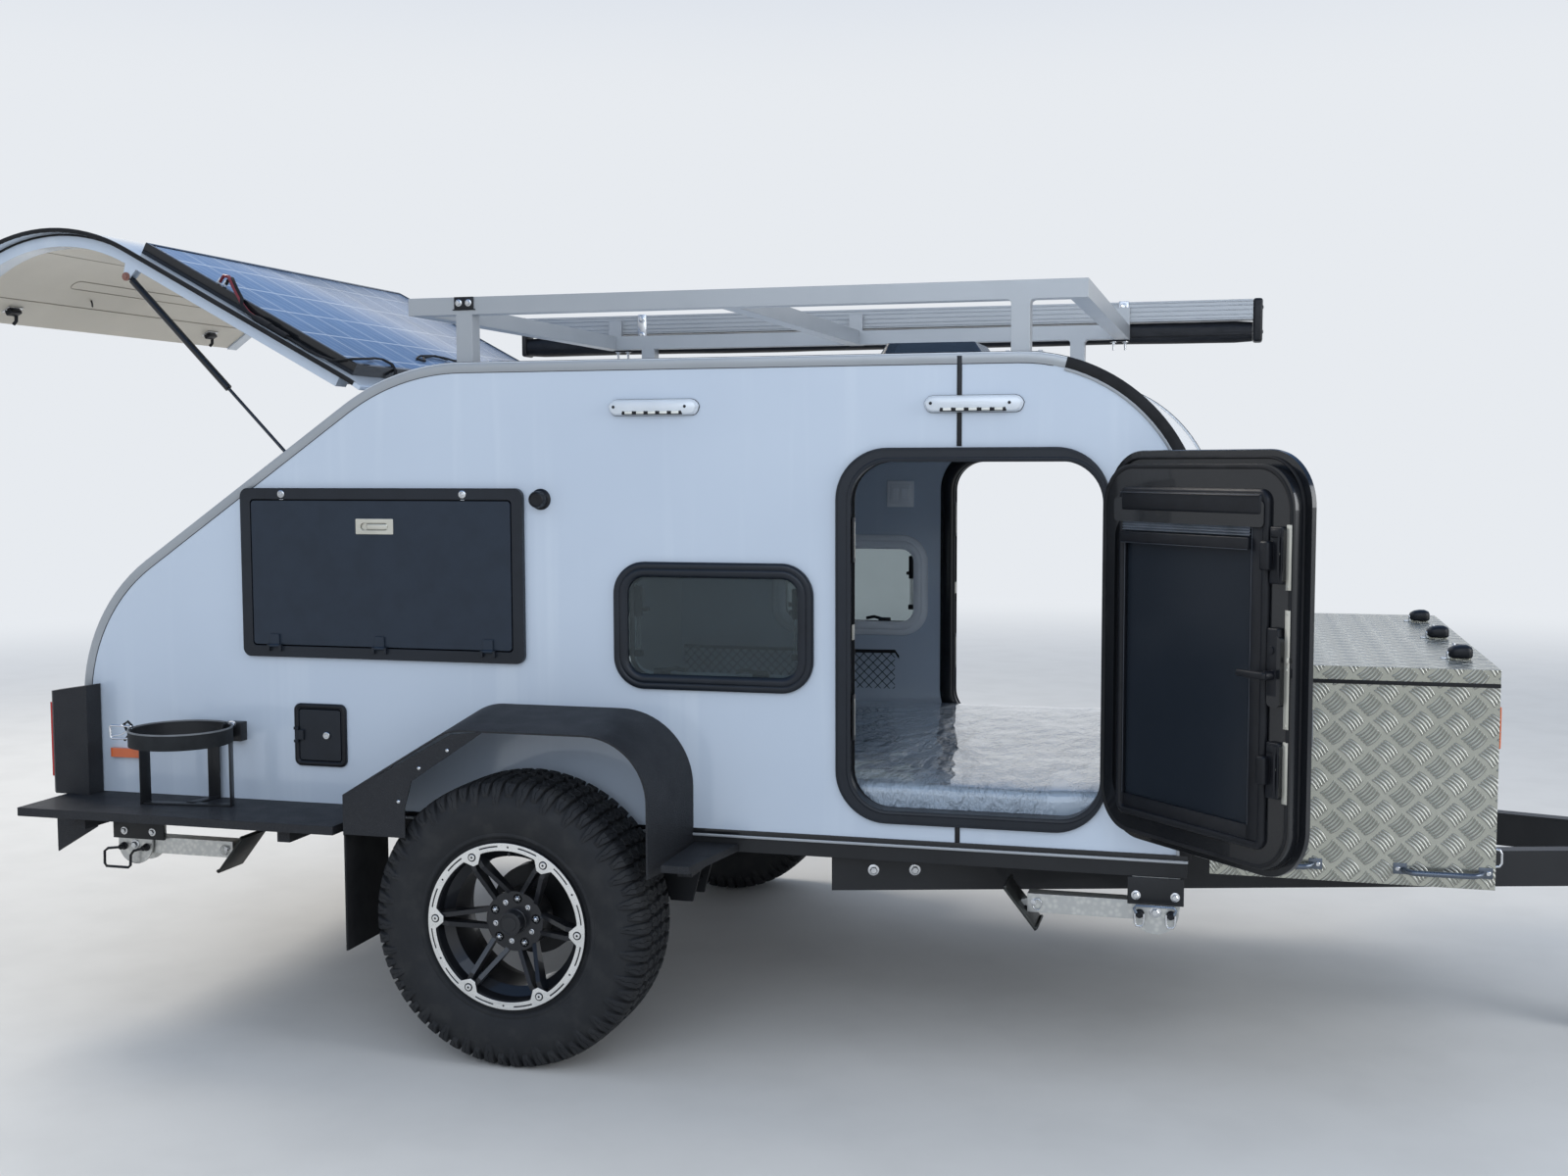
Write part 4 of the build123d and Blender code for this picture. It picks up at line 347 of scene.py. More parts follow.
def clear(name, colour, rough, clearness):
    """Tinted see-through sheet with a reflecting surface."""
    made = Paint(name, colour, rough, 0, 0, 0)
    made.shader.inputs["Transmission Weight"].default_value = clearness
    made.shader.inputs["IOR"].default_value = 1.2
    made.tint(made.noise(120).smooth(0.4, 0.8) * 0.3, [c * 0.8 for c in colour])
    made.roughen(made.noise(50), rough, rough + 0.05)
    return made.material


window_tint = clear("window_tint", (0.30, 0.35, 0.36), 0.03, 0.9)
screen_tint = clear("screen_tint", (0.035, 0.045, 0.06), 0.12, 0.55)
dome_tint = clear("dome_tint", (0.05, 0.07, 0.10), 0.1, 0.5)


# Outlines

def ring_points(radius, start=0.0, end=360.0, steps=48, centre=(0, 0)):
    """Points on an arc."""
    count = steps if abs(end - start) >= 360 else steps + 1
    points = [polar(radius, start + (end - start) * i / steps) for i in range(count)]
    return [(centre[0] + x, centre[1] + y) for x, y in points]


def rounded(x0, x1, y0, y1, radius, inset=0.0, steps=8):
    """Outline of a rounded rectangle."""
    x0, x1, y0, y1 = x0 + inset, x1 - inset, y0 + inset, y1 - inset
    radius = max(radius - inset, 1.0)
    points = []
    for start, centre in ((-90, (x1 - radius, y0 + radius)), (0, (x1 - radius, y1 - radius)),
                          (90, (x0 + radius, y1 - radius)), (180, (x0 + radius, y0 + radius))):
        points += ring_points(radius, start, start + 90, steps, centre)
    return points


def bulge(value, power):
    """Swells a sine towards a square."""
    return math.copysign(abs(value) ** power, value)


def profile_arcs():
    """Arcs of the body's side profile from tail to chin: centre, radius, first and last direction."""
    tail, hip_r, nose_r, chin_r = (-1000, 925, 535), 673, 475, 276
    low_x = tail[0] - tail[2] * math.sin(LID_SLOPE)
    low_z = tail[1] + tail[2] * math.cos(LID_SLOPE)
    rise = 1945 - hip_r * (1 - math.cos(LID_SLOPE)) - low_z
    hip = (low_x + rise / math.tan(LID_SLOPE) + hip_r * math.sin(LID_SLOPE), 1272, hip_r)
    chin_x, chin_z = polar(nose_r - chin_r, 29)
    nose = (1800 - chin_x - chin_r, 1470, nose_r)
    chin = (nose[0] + chin_x, nose[1] + chin_z, chin_r)
    return [(*tail, 187.3, 124.1), (*hip, 124.1, 90), (*nose, 90, 29), (*chin, 29, 0)]


ARCS = profile_arcs()


def body_profile(inset, start=None, end=None, steps=16, foot=630):
    """Side profile at an inset, between two directions of its arcs, or from and to the wall's foot."""
    points = []
    for x, z, radius, first, last in ARCS:
        for i in range(steps + 1):
            degrees = first + (last - first) * i / steps
            if (start is None or degrees <= start + 0.001) and (end is None or degrees >= end - 0.001):
                out = polar(radius - inset, degrees)
                points.append((x + out[0], z + out[1]))
    if start is None:
        x, z = points[0]
        points.insert(0, (x + (z - foot) * math.tan(TAIL_LEAN), foot))
    if end is None:
        points.append((1800 - inset, foot))
    return points


# Planes that pieces are drawn in: on a side or a wheel x runs along, y up and z outwards

def side_plane(y, z=0.0):
    return Matrix(((1, 0, 0, AXLE), (0, 0, -1, y * MM), (0, 1, 0, z * MM), (0, 0, 0, 1)))


AHEAD = Matrix.Translation((AXLE, 0, 0))
RIGHT = side_plane(-853)
INSIDE_LEFT = side_plane(818)
WHEEL = side_plane(0, TYRE_R)
hinge = at(-558.4, 0, 1875.8)
open_lid = Matrix.Translation(hinge) @ Matrix.Rotation(LID_TURN, 4, "Y") @ Matrix.Translation(-hinge)
LID = open_lid @ AHEAD
LID_SIDE = open_lid @ RIGHT
lid_cosine, lid_sine = math.cos(LID_SLOPE), math.sin(LID_SLOPE)
LID_TOP = open_lid @ Matrix(((-lid_cosine, 0, -lid_sine, AXLE - 0.6186), (0, -1, 0, 0),
                             (-lid_sine, 0, lid_cosine, 1.8293), (0, 0, 0, 1)))
door_axis = at(1589, -878, 0)
DOOR = Matrix(((math.cos(DOOR_TURN), 0, math.sin(DOOR_TURN), door_axis.x),
               (math.sin(DOOR_TURN), 0, -math.cos(DOOR_TURN), door_axis.y), (0, 1, 0, 0), (0, 0, 0, 1)))
OUT = (0, 0, 1)
SIDEWAYS = (0, -1, 0)


# Geometry

class Piece:
    """Mesh that is put together from shapes drawn in a plane, and rides on a body."""

    def __init__(self, name, material, slot, plane=AHEAD, body="trailer"):
        self.name = name
        self.material = material
        self.slot = slot
        self.plane = plane
        self.body = body
        self.mesh = bmesh.new()

    def take(self, part, matrix):
        """Joins a shape in, its faces turned where the matrix mirrors them."""
        bmesh.ops.transform(part, matrix=matrix, verts=part.verts)
        if matrix.determinant() < 0:
            bmesh.ops.reverse_faces(part, faces=part.faces)
        data = bpy.data.meshes.new("part")
        part.to_mesh(data)
        part.free()
        self.mesh.from_mesh(data)
        bpy.data.meshes.remove(data)

    def skin(self, rows, matrix, ring=True, closed=False, caps=False):
        """Faces over rows of points in metres: rows may be rings, their chain closed, its ends capped."""
        part = bmesh.new()
        made = [[part.verts.new(p) for p in row] for row in rows]
        count = len(rows[0])
        for one, two in zip(made, made[1:] + made[:1] if closed else made[1:]):
            for i in range(count if ring else count - 1):
                j = (i + 1) % count
                part.faces.new((one[i], one[j], two[j], two[i]))
        if caps:
            part.faces.new(made[0])
            part.faces.new(made[-1])
        bmesh.ops.recalc_face_normals(part, faces=part.faces)
        self.take(part, matrix)

    def loops(self, rows, ring=True, closed=False, caps=False):
        self.skin([[[c * MM for c in p] for p in row] for row in rows], self.plane, ring, closed, caps)

    def bezel(self, rect, section, steps=8):
        """Moulding round a rounded rectangle: section of inset and out, closed."""
        self.loops([[(x, y, out) for x, y in rounded(*rect, inset, steps)] for inset, out in section],
                   True, True)

    def band(self, section, start=None, end=None, steps=16, foot=630):
        """Strip along the side profile: section of inset and out, closed."""
        self.loops([[(x, y, out) for x, y in body_profile(inset, start, end, steps, foot)]
                    for inset, out in section], False, True)

    def block(self, x, y, z, bevel=1.0, steps=2):
        """Box over three ranges."""
        part = bmesh.new()
        bmesh.ops.create_cube(part, size=1)
        middle = [(low + high) / 2 * MM for low, high in (x, y, z)]
        size = [abs(high - low) * MM for low, high in (x, y, z)]
        bmesh.ops.transform(part, matrix=Matrix.Translation(middle) @ Matrix.Diagonal((*size, 1)),
                            verts=part.verts)
        if bevel:
            bmesh.ops.bevel(part, geom=part.edges[:], offset=bevel * MM, segments=steps, profile=0.5,
                            affect="EDGES")
        self.take(part, self.plane)

    def plate(self, outline, holes, depth, out, bevel=0.4):
        """Flat plate with holes, raised from a distance out of the plane."""
        curve = bpy.data.curves.new("plate", "CURVE")
        curve.dimensions = "2D"
        curve.fill_mode = "BOTH"
        curve.extrude = (depth / 2 - bevel) * MM
        curve.bevel_depth = bevel * MM
        curve.offset = -bevel * MM
        for ring in [outline] + holes:
            spline = curve.splines.new("POLY")
            spline.points.add(len(ring) - 1)
            for point, (x, y) in zip(spline.points, ring):
                point.co = (x * MM, y * MM, 0, 1)
            spline.use_cyclic_u = True
        holder = add("plate", curve)
        bpy.context.view_layer.update()
        shown = holder.evaluated_get(bpy.context.evaluated_depsgraph_get())
        data = bpy.data.meshes.new_from_object(shown)
        part = bmesh.new()
        part.from_mesh(data)
        bmesh.ops.remove_doubles(part, verts=part.verts, dist=1e-6)
        bpy.data.objects.remove(holder)
        bpy.data.curves.remove(curve)
        bpy.data.meshes.remove(data)
        self.take(part, self.plane @ Matrix.Translation((0, 0, (out + depth / 2) * MM)))

    def lathe(self, section, centre, steps=32, caps=True, axis=OUT):
        """Turned shape: section of radius and height along an axis from a centre."""
        way = (self.plane.to_3x3() @ Vector(axis)).normalized()
        turn = way.to_track_quat("Z", "Y").to_matrix().to_4x4()
        place = self.plane @ (Vector(centre) * MM)
        rows = [[(*polar(radius * MM, 360 * i / steps), height * MM) for i in range(steps)]
                for radius, height in section]
        self.skin(rows, Matrix.Translation(place) @ turn, caps=caps)

    def bolt(self, centre, radius, height, axis=OUT, washer=True):
        """Hexagon head, usually on a washer."""
        if washer:
            self.lathe([(radius * 1.5, 0), (radius * 1.5, height * 0.25), (radius * 1.3, height * 0.35)],
                       centre, 16, axis=axis)
        self.lathe([(radius, height * 0.3), (radius, height * 1.1), (radius * 0.8, height * 1.3)], centre, 6,
                   axis=axis)

    def dome(self, centre, radius, height, axis=OUT, steps=16):
        """Domed rivet or button."""
        self.lathe([(radius * math.cos(a), height * math.sin(a)) for a in (0, 0.4, 0.8, 1.2, 1.5)], centre,
                   steps, axis=axis)

    def tube(self, points, radius, sides=10, ends=True):
        """Round bar through points, with its corners as given."""
        points = [self.plane @ (Vector(p) * MM) for p in points]
        side = (points[1] - points[0]).normalized().orthogonal().normalized()
        spots = [polar(radius * MM, 360 * k / sides) for k in range(sides)]
        rows = []
        for i, point in enumerate(points):
            way = (points[min(i + 1, len(points) - 1)] - points[max(i - 1, 0)]).normalized()
            side = (side - way * side.dot(way)).normalized()
            up = way.cross(side)
            rows.append([point + side * across + up * rise for across, rise in spots])
        self.skin(rows, Matrix.Identity(4), caps=ends)

    def both_sides(self):
        """Adds a copy mirrored to the other side."""
        self.take(self.mesh.copy(), MIRROR)

    def done(self, smooth=40, both=False):
        """Makes the object, mirrored to the other side first where both sides have it."""
        if both:
            self.both_sides()
        data = bpy.data.meshes.new(self.name)
        self.mesh.to_mesh(data)
        self.mesh.free()
        for polygon in data.polygons:
            polygon.use_smooth = True
        data.set_sharp_from_angle(angle=math.radians(smooth))
        data.materials.append(self.material)
        made = add(self.name, data)
        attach(made, self.body)
        return made

    def pair(self, smooth=40):
        """Makes the right side's object, and its mirrored copy on the left side's body."""
        made = self.done(smooth)
        name = self.name.replace("_right", "_left")
        data = made.data.copy()
        data.name = name
        shape = bmesh.new()
        shape.from_mesh(data)
        bmesh.ops.transform(shape, matrix=MIRROR, verts=shape.verts)
        bmesh.ops.reverse_faces(shape, faces=shape.faces)
        shape.to_mesh(data)
        shape.free()
        copy = add(name, data)
        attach(copy, self.body.replace("_right", "_left"))
        return made, copy


# CAD nodes keep their shapes and get their finishes
for nodes, material in (
        ("side_rear_right side_rear_left side_front_panels roof_panel hatch_shell", white_gel),
        ("edge_trims lamp_housings", white_trim),
        ("floor_panel", ply),
        ("galley_cabinet mattress", laminate),
        ("window_frames door_frames side_hatch_frames service_door", dark_frame),
        ("window_panes", window_tint),
        ("table_panel", slate),
        ("mudguards side_platforms tail_boxes", textured_black),
        ("mud_flaps awning_bag jockey_wheel", rubber),
        ("lamp_lenses", lens_pair.material),
        ("chassis_rails chassis_crossmembers drawbar_rails drawbar_head suspension_arms", chassis),
        ("suspension_brackets bottle_holder", chassis),
        ("coupling jockey_sleeve jockey_tube jockey_fork stabiliser_mounts", zinc),
        ("stabiliser_leg_front_right stabiliser_leg_front_left", zinc),
        ("stabiliser_leg_rear_right stabiliser_leg_rear_left", zinc),
        ("toolbox toolbox_lid", tread.material),
        ("rack_rails rack_crossbars awning_rail", satin_alloy),
        ("roof_vent", dome_tint),
        ("rim_right rim_left", rim_black),
        ("tyre_right tyre_left", tyre_rubber),
        ("door_leaf_right door_leaf_left solar_panel", gloss_black),
        ("strut_cylinder_right strut_cylinder_left", gloss_black),
        ("door_pane_right door_pane_left", screen_tint),
        ("hatch_liner", liner_cream),
        ("strut_rod_right strut_rod_left", dark_rod)):
    for node in nodes.split():
        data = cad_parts[node].data
        data.materials.clear()
        data.materials.append(material)

# Tyres: a turned carcass, and tread blocks that wrap over the shoulders. Each row of SKIN says
# how far across it lies, then radius and height of the grooves' floor and of the blocks' tops
SKIN = [(0, 391.5, 0, 401.4, 0), (40, 391.2, 40, 401.2, 40), (70, 390.3, 70, 400.6, 70),
        (90, 388.4, 89, 399.3, 91), (100, 385.2, 97.5, 397, 101), (108, 380.5, 103.5, 392.5, 108.6),
        (118, 372.5, 110.5, 384, 115.6), (130, 361.5, 118.3, 372, 121.6), (142, 350.5, 124.3, 360, 127.2),
        (152, 341, 128, 349, 130.3), (162, 332, 130.4, 339, 131.4), (170, 325, 131.4, 331, 131.8)]
SIDEWALL = [(312, 132), (296, 131), (280, 127.6), (264, 121.6), (258, 118.6), (255, 119.2), (250, 119),
            (246, 116.5), (241, 110), (234, 107.5), (224, 106), (217, 102), (216, 90)]
BLOCKS = {
    "shoulder long": [(64, 3, 29), (75, 0, 31), (89, 1, 33), (104, 3, 35), (118, 4, 35), (132, 6, 33),
                      (146, 9, 31), (157, 12, 27)],
    "shoulder short": [(62, 41, 66), (76, 41, 71), (90, 43, 74), (106, 43, 74), (120, 46, 72), (134, 50, 67)],
    "middle one": [(15, 7, 27), (25, 3, 33), (37, 8, 38), (47, 11, 37), (56, 10, 31)],
    "middle two": [(18, 45, 63), (28, 42, 70), (40, 47, 76), (49, 50, 74), (55, 49, 68)],
    "centre one": [(-9, 16, 31), (-3, 10, 36), (5, 8, 34), (10, 12, 30)],
    "centre two": [(-10, 52, 68), (-4, 46, 72), (4, 48, 75), (9, 53, 71)],
}
BLOCK_GRID = 79


def skin_point(t, lift):
    """Radius and height at a place across the tread, from the groove's floor to a block's top."""
    side = -1 if t < 0 else 1
    t = abs(t)
    for low, high in zip(SKIN, SKIN[1:]):
        if t <= high[0]:
            share = (t - low[0]) / (high[0] - low[0])
            base_r, base, top_r, top = [a + (b - a) * share for a, b in zip(low[1:], high[1:])]
            return base_r + (top_r - base_r) * lift, side * (base + (top - base) * lift)
    return SKIN[-1][1], side * SKIN[-1][2]


def tread_block(rows, start, scale, side):
    """One block, with chamfered edges and a sipe along its middle."""
    first, last = rows[0], rows[-1]
    rows = ([(first[0] - 2.5, *first[1:], 0)] + [(*row, 1) for row in rows]
            + [(last[0] + 2.5, *last[1:], 0)])
    made = []
    for place, (t, left, right, lift) in enumerate(rows):
        middle = (left + right) / 2 + (2.2 if place % 2 else -2.2)
        section = [(left - 1.5, -0.1), (left + 0.5, 0.86), (left + 2.2, 1), (middle - 0.8, 1), (middle, 0.62),
                   (middle + 0.8, 1), (right - 2.2, 1), (right - 0.5, 0.86), (right + 1.5, -0.1)]
        row = []
        for s, height in section:
            radius, across = skin_point(t, height * lift if lift else -0.1)
            row.append((*polar(radius, start + s * scale), TRACK + across * side))
        made.append(row)
    tyre.loops(made, False)


tyre = Piece("tyre_tread_right", tyre_rubber, "tyre", WHEEL, "wheel_right")
profile = SIDEWALL[::-1] + [row[1:3] for row in SKIN[::-1]]
profile += [(r, -y) for r, y in profile[::-1][1:]]
tyre.loops([[(*polar(r, 2 * step), TRACK + y) for r, y in profile] for step in range(180)], True, True)
pitches = [0.93, 1.0, 1.07, 1.0, 0.95, 1.05, 1.0, 1.08, 0.92] * 3 + [1.0, 0.96, 1.04, 1.0, 1.0]
for side in (1, -1):
    turn = 0.0 if side > 0 else 180 / len(pitches)
    for pitch in pitches:
        span = 360 * pitch / sum(pitches)
        for name, rows in BLOCKS.items():
            if "centre" not in name or side > 0:
                tread_block(rows, turn, span / BLOCK_GRID, side)
        turn += span
tyre_right, tyre_left = tyre.pair(28)
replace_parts(tyre_right, "tyre_right")
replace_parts(tyre_left, "tyre_left")

# Rims: machined ring with slots, its bolts, the cap, the valve and the wheel nuts
RING_FACE = TRACK + 121
HUB_FACE = TRACK + 62
ring = Piece("wheel_ring_right", machined.material, "trim_alloy", WHEEL, "wheel_right")
dark = Piece("wheel_cap_right", rim_black, "black_plastic", WHEEL, "wheel_right")
inner_line = []
holes = []
for turn in [-2.6 + 60 * i for i in range(6)]:
    cosine, sine = polar(1, turn)
    for x, y in [(207.5, -27.5), (198, -19), (186, -8), (186, 8), (198, 19), (207.5, 27.5)]:
        inner_line.append((x * cosine - y * sine, x * sine + y * cosine))
    inner_line += ring_points(210, turn + 9.2, turn + 50.8, 14)
    middle = turn + 30
    for low, high in ((middle - 22.3, middle - 7.8), (middle + 7.8, middle + 22.3)):
        holes.append(ring_points(224, low, high, 10) + ring_points(220, high, low, 10))
    holes.append(ring_points(3, centre=polar(220.5, middle), steps=14))
    place = polar(209.6, turn)
    ring.lathe([(8.3, 0.2), (8.3, 2.2), (7.6, 3), (3.4, 3), (3.4, 1)], (*place, RING_FACE + 1.2), 24)
    dark.lathe([(11.7, 0), (11.7, 0.9), (11.1, 1.2), (8.4, 1.2), (8.4, 0.2)], (*place, RING_FACE + 1), 24,
               False)
    dark.lathe([(3.3, 1.2), (3.3, 2.6)], (*place, RING_FACE + 1), 6)
ring.plate(ring_points(231, steps=144), [inner_line] + holes, 1.6, RING_FACE - 0.3)
ring.pair(30)
dark.lathe([(33.3, -34), (33.3, -4), (32.5, -1.5), (30.5, 0), (26.8, 0), (26.2, -2.2), (20, -2.6),
            (19.6, -1.2), (0, -0.8)], (0, 0, TRACK + 98.4), 48, False)
dark.lathe([(36, 0), (36, 3), (34.5, 4), (33, 4)], (0, 0, HUB_FACE), 48, False)
dark.lathe([(4.5, -20), (4.5, 14), (5.2, 16), (5.2, 26), (4.5, 28), (0, 28)],
           (*polar(199, 87.4), TRACK + 86), 14)
dark.pair(35)
nuts = Piece("wheel_nuts_right", steel, "zinc", WHEEL, "wheel_right")
for turn in range(0, 360, 72):
    place = polar(64.5, 9 + turn)
    nuts.lathe([(11.2, 0), (11.2, 3), (9.6, 5)], (*place, TRACK + 51), 20, False)
    nuts.lathe([(9.8, 1), (9.8, 12), (8.8, 13.5)], (*place, TRACK + 51), 6)
    nuts.dome((*place, TRACK + 63.5), 7.8, 7)
    nuts.bolt((*polar(57, 45 + turn), HUB_FACE), 5.2, 5)
nuts.pair(30)

# Windows: outer mouldings with a double rim, and what shows through the panes
rim = Piece("window_mouldings", dark_frame, "black_plastic", RIGHT)
rim.bezel((221, 797, 1030, 1386, 90), [
    (-0.4, 0), (-0.6, 8), (1.5, 12.4), (5, 14.6), (12, 15.2), (17, 14.4), (18.5, 12.8), (20, 14.6), (24, 16.2),
    (31, 16), (37, 14), (41.6, 9.5), (42.4, 4.6), (40, 3), (20, 11.5), (2, 11.5), (0.5, 2)], 12)
rim.done(50, True)
lining = Piece("window_linings", bright_white, "panel_white", RIGHT)
lining.bezel((222, 796, 1031, 1385, 90), [
    (-9, -35.2), (-9, -42), (-5, -46.5), (12, -47.5), (15, -52), (19, -54), (38, -54), (43, -51), (43.5, -47),
    (40, -44), (4, -44)], 12)
lining.done(50, True)
fittings = Piece("window_fittings", black_plastic, "black_plastic", RIGHT)
stays = Piece("window_stays", steel, "zinc", RIGHT)
for x, way in ((352, 1), (640, -1)):
    fittings.block((x - 22, x + 22), (1066, 1086), (-35, -12), 4)
    fittings.tube([(x + way * 8, 1080, -22), (x + way * 40, 1088, -20), (x + way * 70, 1082, -18)], 6)
for x, way in ((283, 1), (742, -1)):
    fittings.block((x - 10, x + 10), (1232, 1316), (-34, -12), 3)
    fittings.block((x + way * 8 - 12, x + way * 20 + 12), (1246, 1258), (-30, -14), 3)
    fittings.block((x - 12, x + 12), (1118, 1136), (-34, -12), 3)
    for shift in (-5, 1, 6):
        stays.tube([(x + shift, 1130, -22), (x + shift, 1236, -22)], 1.9, 8)
fittings.done(both=True)
stays.done(both=True)

# Picnic table: recessed latch, two round locks on the frame, and the service door's lock
latch = Piece("table_latch", silver_bar, "trim_alloy", RIGHT, "table")
slot_hole = ring_points(11, 90, 270, 8, (-551, 1478)) + ring_points(11, -90, 90, 8, (-484, 1478))
latch.plate(rounded(-577, -456, 1456, 1501, 3), [slot_hole], 4, 12.8, 0.6)
latch.block((-544, -474), (1468.5, 1487.5), (8.5, 15), 4.5, 3)
latch.block((-577, -456), (1456, 1501), (9.5, 10.5), 0)
latch.done()
locks = Piece("side_locks", steel, "zinc", RIGHT)
for x in (-820, -235):
    locks.lathe([(11.5, 0), (11.5, 2), (10, 3.4), (6.6, 3.6), (6.2, 2.2), (0, 2.2)], (x, 1572.5, 16), 28,
                False)
    locks.bolt((x, 1572.5, 17.6), 4.2, 2.2, washer=False)
    locks.block((x - 5, x + 7), (1555.5, 1557.5), (15.5, 18.5), 0.5)
locks.done()
lock = Piece("service_lock", steel, "zinc", RIGHT, "service_door")
lock.lathe([(11.2, 0), (11.2, 1.8), (9.8, 3), (5.4, 3), (5, 1.8), (0, 1.8)], (-691, 857, 11), 28, False)
lock.done()
rim = Piece("service_rim", black_plastic, "black_plastic", RIGHT)
rim.bezel((-799, -629, 764, 950, 20), [
    (-0.5, 0), (-0.5, 5), (1.5, 8.6), (5, 10), (9, 9.8), (12, 8.4), (13.6, 6), (12, 5), (4, 7.6), (1, 5)])
rim.done(50)

# Power inlet cowls beside the table
cowl = Piece("inlet_cowls", black_plastic, "black_plastic", RIGHT)
cowl.lathe([(30, 0), (30, 3), (26.5, 6), (23.5, 7.5), (23, 34), (21.8, 37.5), (18.5, 39), (17.5, 36), (0, 35)],
           (0.5, 1559, 0), 36, False)
for turn in range(0, 360, 30):
    x, y = polar(22.5, turn)
    cowl.block((x - 1.1, x + 2.1), (y + 1557.4, y + 1560.6), (10, 32), 0.6)
cowl.done(both=True)

# Lamps: pointed housings on a gasket, with screws and a row of bright diodes
LAMP = [(-131.5, 3), (-127, 12), (-119, 19), (-108, 22), (108, 22), (119, 19), (127, 12), (131.5, 3),
        (128, -10), (121, -19), (112, -22), (-112, -22), (-121, -19), (-128, -10)]
housing = Piece("side_lamps", white_trim, "trim_alloy", RIGHT)
gasket = Piece("lamp_gaskets", black_plastic, "black_plastic", RIGHT)
diodes = Piece("lamp_diodes", pale_lens, "lens", RIGHT)


def lamp_lines(centre, rows):
    """The lamp's outline, scaled along and up, at distances out of the wall."""
    return [[(centre + x * scale_x, 1814 + y * scale_y, out) for x, y in LAMP]
            for scale_x, scale_y, out in rows]


for centre in (342.5, 1232.5):
    gasket.loops(lamp_lines(centre, [(0.9, 0.8, 0), (1.01, 1.05, 0), (1.01, 1.05, 2.6), (0.9, 0.8, 2.6)]),
                 True, True)
    housing.loops(lamp_lines(centre, [(0.9, 0.8, 1), (1, 1, 2.2), (1, 1, 9), (0.985, 0.94, 15),
                                      (0.955, 0.82, 20.5), (0.9, 0.62, 23), (0.4, 0.2, 23.6)]))
    housing.loops(lamp_lines(centre, [(0.4, 0.2, 23.1), (0.4, 0.2, 23.7)]), caps=True)
    for x in (-112, 96):
        gasket.lathe([(4.2, 0), (4.2, 2), (3, 2.6), (0, 2.6)], (centre + x, 1815.5, 22.2), 16, False)
    gasket.block((centre - 88, centre + 88), (1793.5, 1806.5), (8, 23.2), 2)
    for x in [centre - 68 + 34 * k for k in range(5)]:
        diodes.block((x - 11, x + 11), (1795.5, 1803.5), (21.5, 24.2), 1.8, 3)
        gasket.block((x + 13.5, x + 16), (1795.5, 1804), (22.2, 24.6), 0.5)
gasket.done(both=True)
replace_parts(housing.done(32, True), "lamp_housings")
diodes.done(both=True)

# Cover strips on the wall seam, and the band and rail along the foot of the walls
for name, material, slot, boxes in (
        ("seam_strips", black_plastic, "black_plastic", [
            ((1187.2, 1200.8), (1703, 1940), (0, 2.4), 0.8), ((1187.2, 1200.8), (642, 684), (0, 2.4), 0.8)]),
        ("foot_bands", gloss_black, "black_plastic", [((-1498, 1797), (628.5, 642), (-2, 3.5), 1.2)]),
        ("foot_rails", satin_alloy, "trim_alloy", [((-1498, 1797), (620.5, 628.3), (-6, 5.5), 1.5)])):
    strips = Piece(name, material, slot, RIGHT)
    for box in boxes:
        strips.block(*box)
    strips.done(both=True)

# Doors: seal, rim, screen frame with its latches, bright lines, blind, screen, skin and grip
LEAF = (-698, -4, 710, 1686, 128)
PANE = (-600, -78, 811, 1518, 58)
INWARDS = (0, 0, -1)


def door_piece(name, material, slot):
    return Piece("door_" + name + "_right", material, slot, DOOR, "door_right")


seal = door_piece("seal", rubber, "black_rubber")
seal.bezel(LEAF, [
    (12.8, -9.8), (12.8, -13), (14, -15.5), (16, -16.4), (18, -15.5), (19.2, -13), (19.2, -9.8)], 14)
seal.bezel((-678, -26, 730, 1654, 108), [
    (0.6, -39.5), (1.2, -41), (3, -42.2), (6, -42.4), (9, -41.8), (10.5, -40.5), (10.5, -39.5)], 14)
rim = door_piece("rim", gloss_black, "black_frame")
rim.bezel(LEAF, [
    (-1.0, -8.6), (-2.6, -6), (-3, -1), (-2.4, 4), (-0.6, 8), (3, 10.4), (8, 11.4), (16, 11.6), (26, 11.2),
    (31, 10.2), (33, 8.2), (12, 8.2), (3.5, 6.5), (0.4, 2), (0.4, -8)], 14)
rim.bezel(PANE, [
    (-2, 8.2), (-2, 11), (0, 13.4), (5, 15), (12, 15.2), (17, 13.6), (20, 10), (21, 4), (20, -1.5),
    (15, -1.5), (15, 8.2)], 12)
inner = door_piece("screen_frame", black_plastic, "black_plastic")
inner.bezel((-612, -94, 776, 1599, 30), [
    (0, -39.5), (0, -44), (2, -48), (6, -50.5), (14, -51), (18, -49), (20, -45), (21, -41), (22, -37),
    (10, -37)])
inner.block((-594, -112), (1541, 1588), (-37, -57), 7, 4)
inner.block((-592, -556), (796, 1540), (-37, -47), 1.5)
inner.block((-118, -112), (796, 1540), (-37, -47), 1.5)
inner.block((-560, -114), (1462, 1489), (-38, -60), 3, 3)
inner.block((-556, -112), (794, 828), (-37, -44), 2)
bright = door_piece("lines", silver_bar, "trim_alloy")
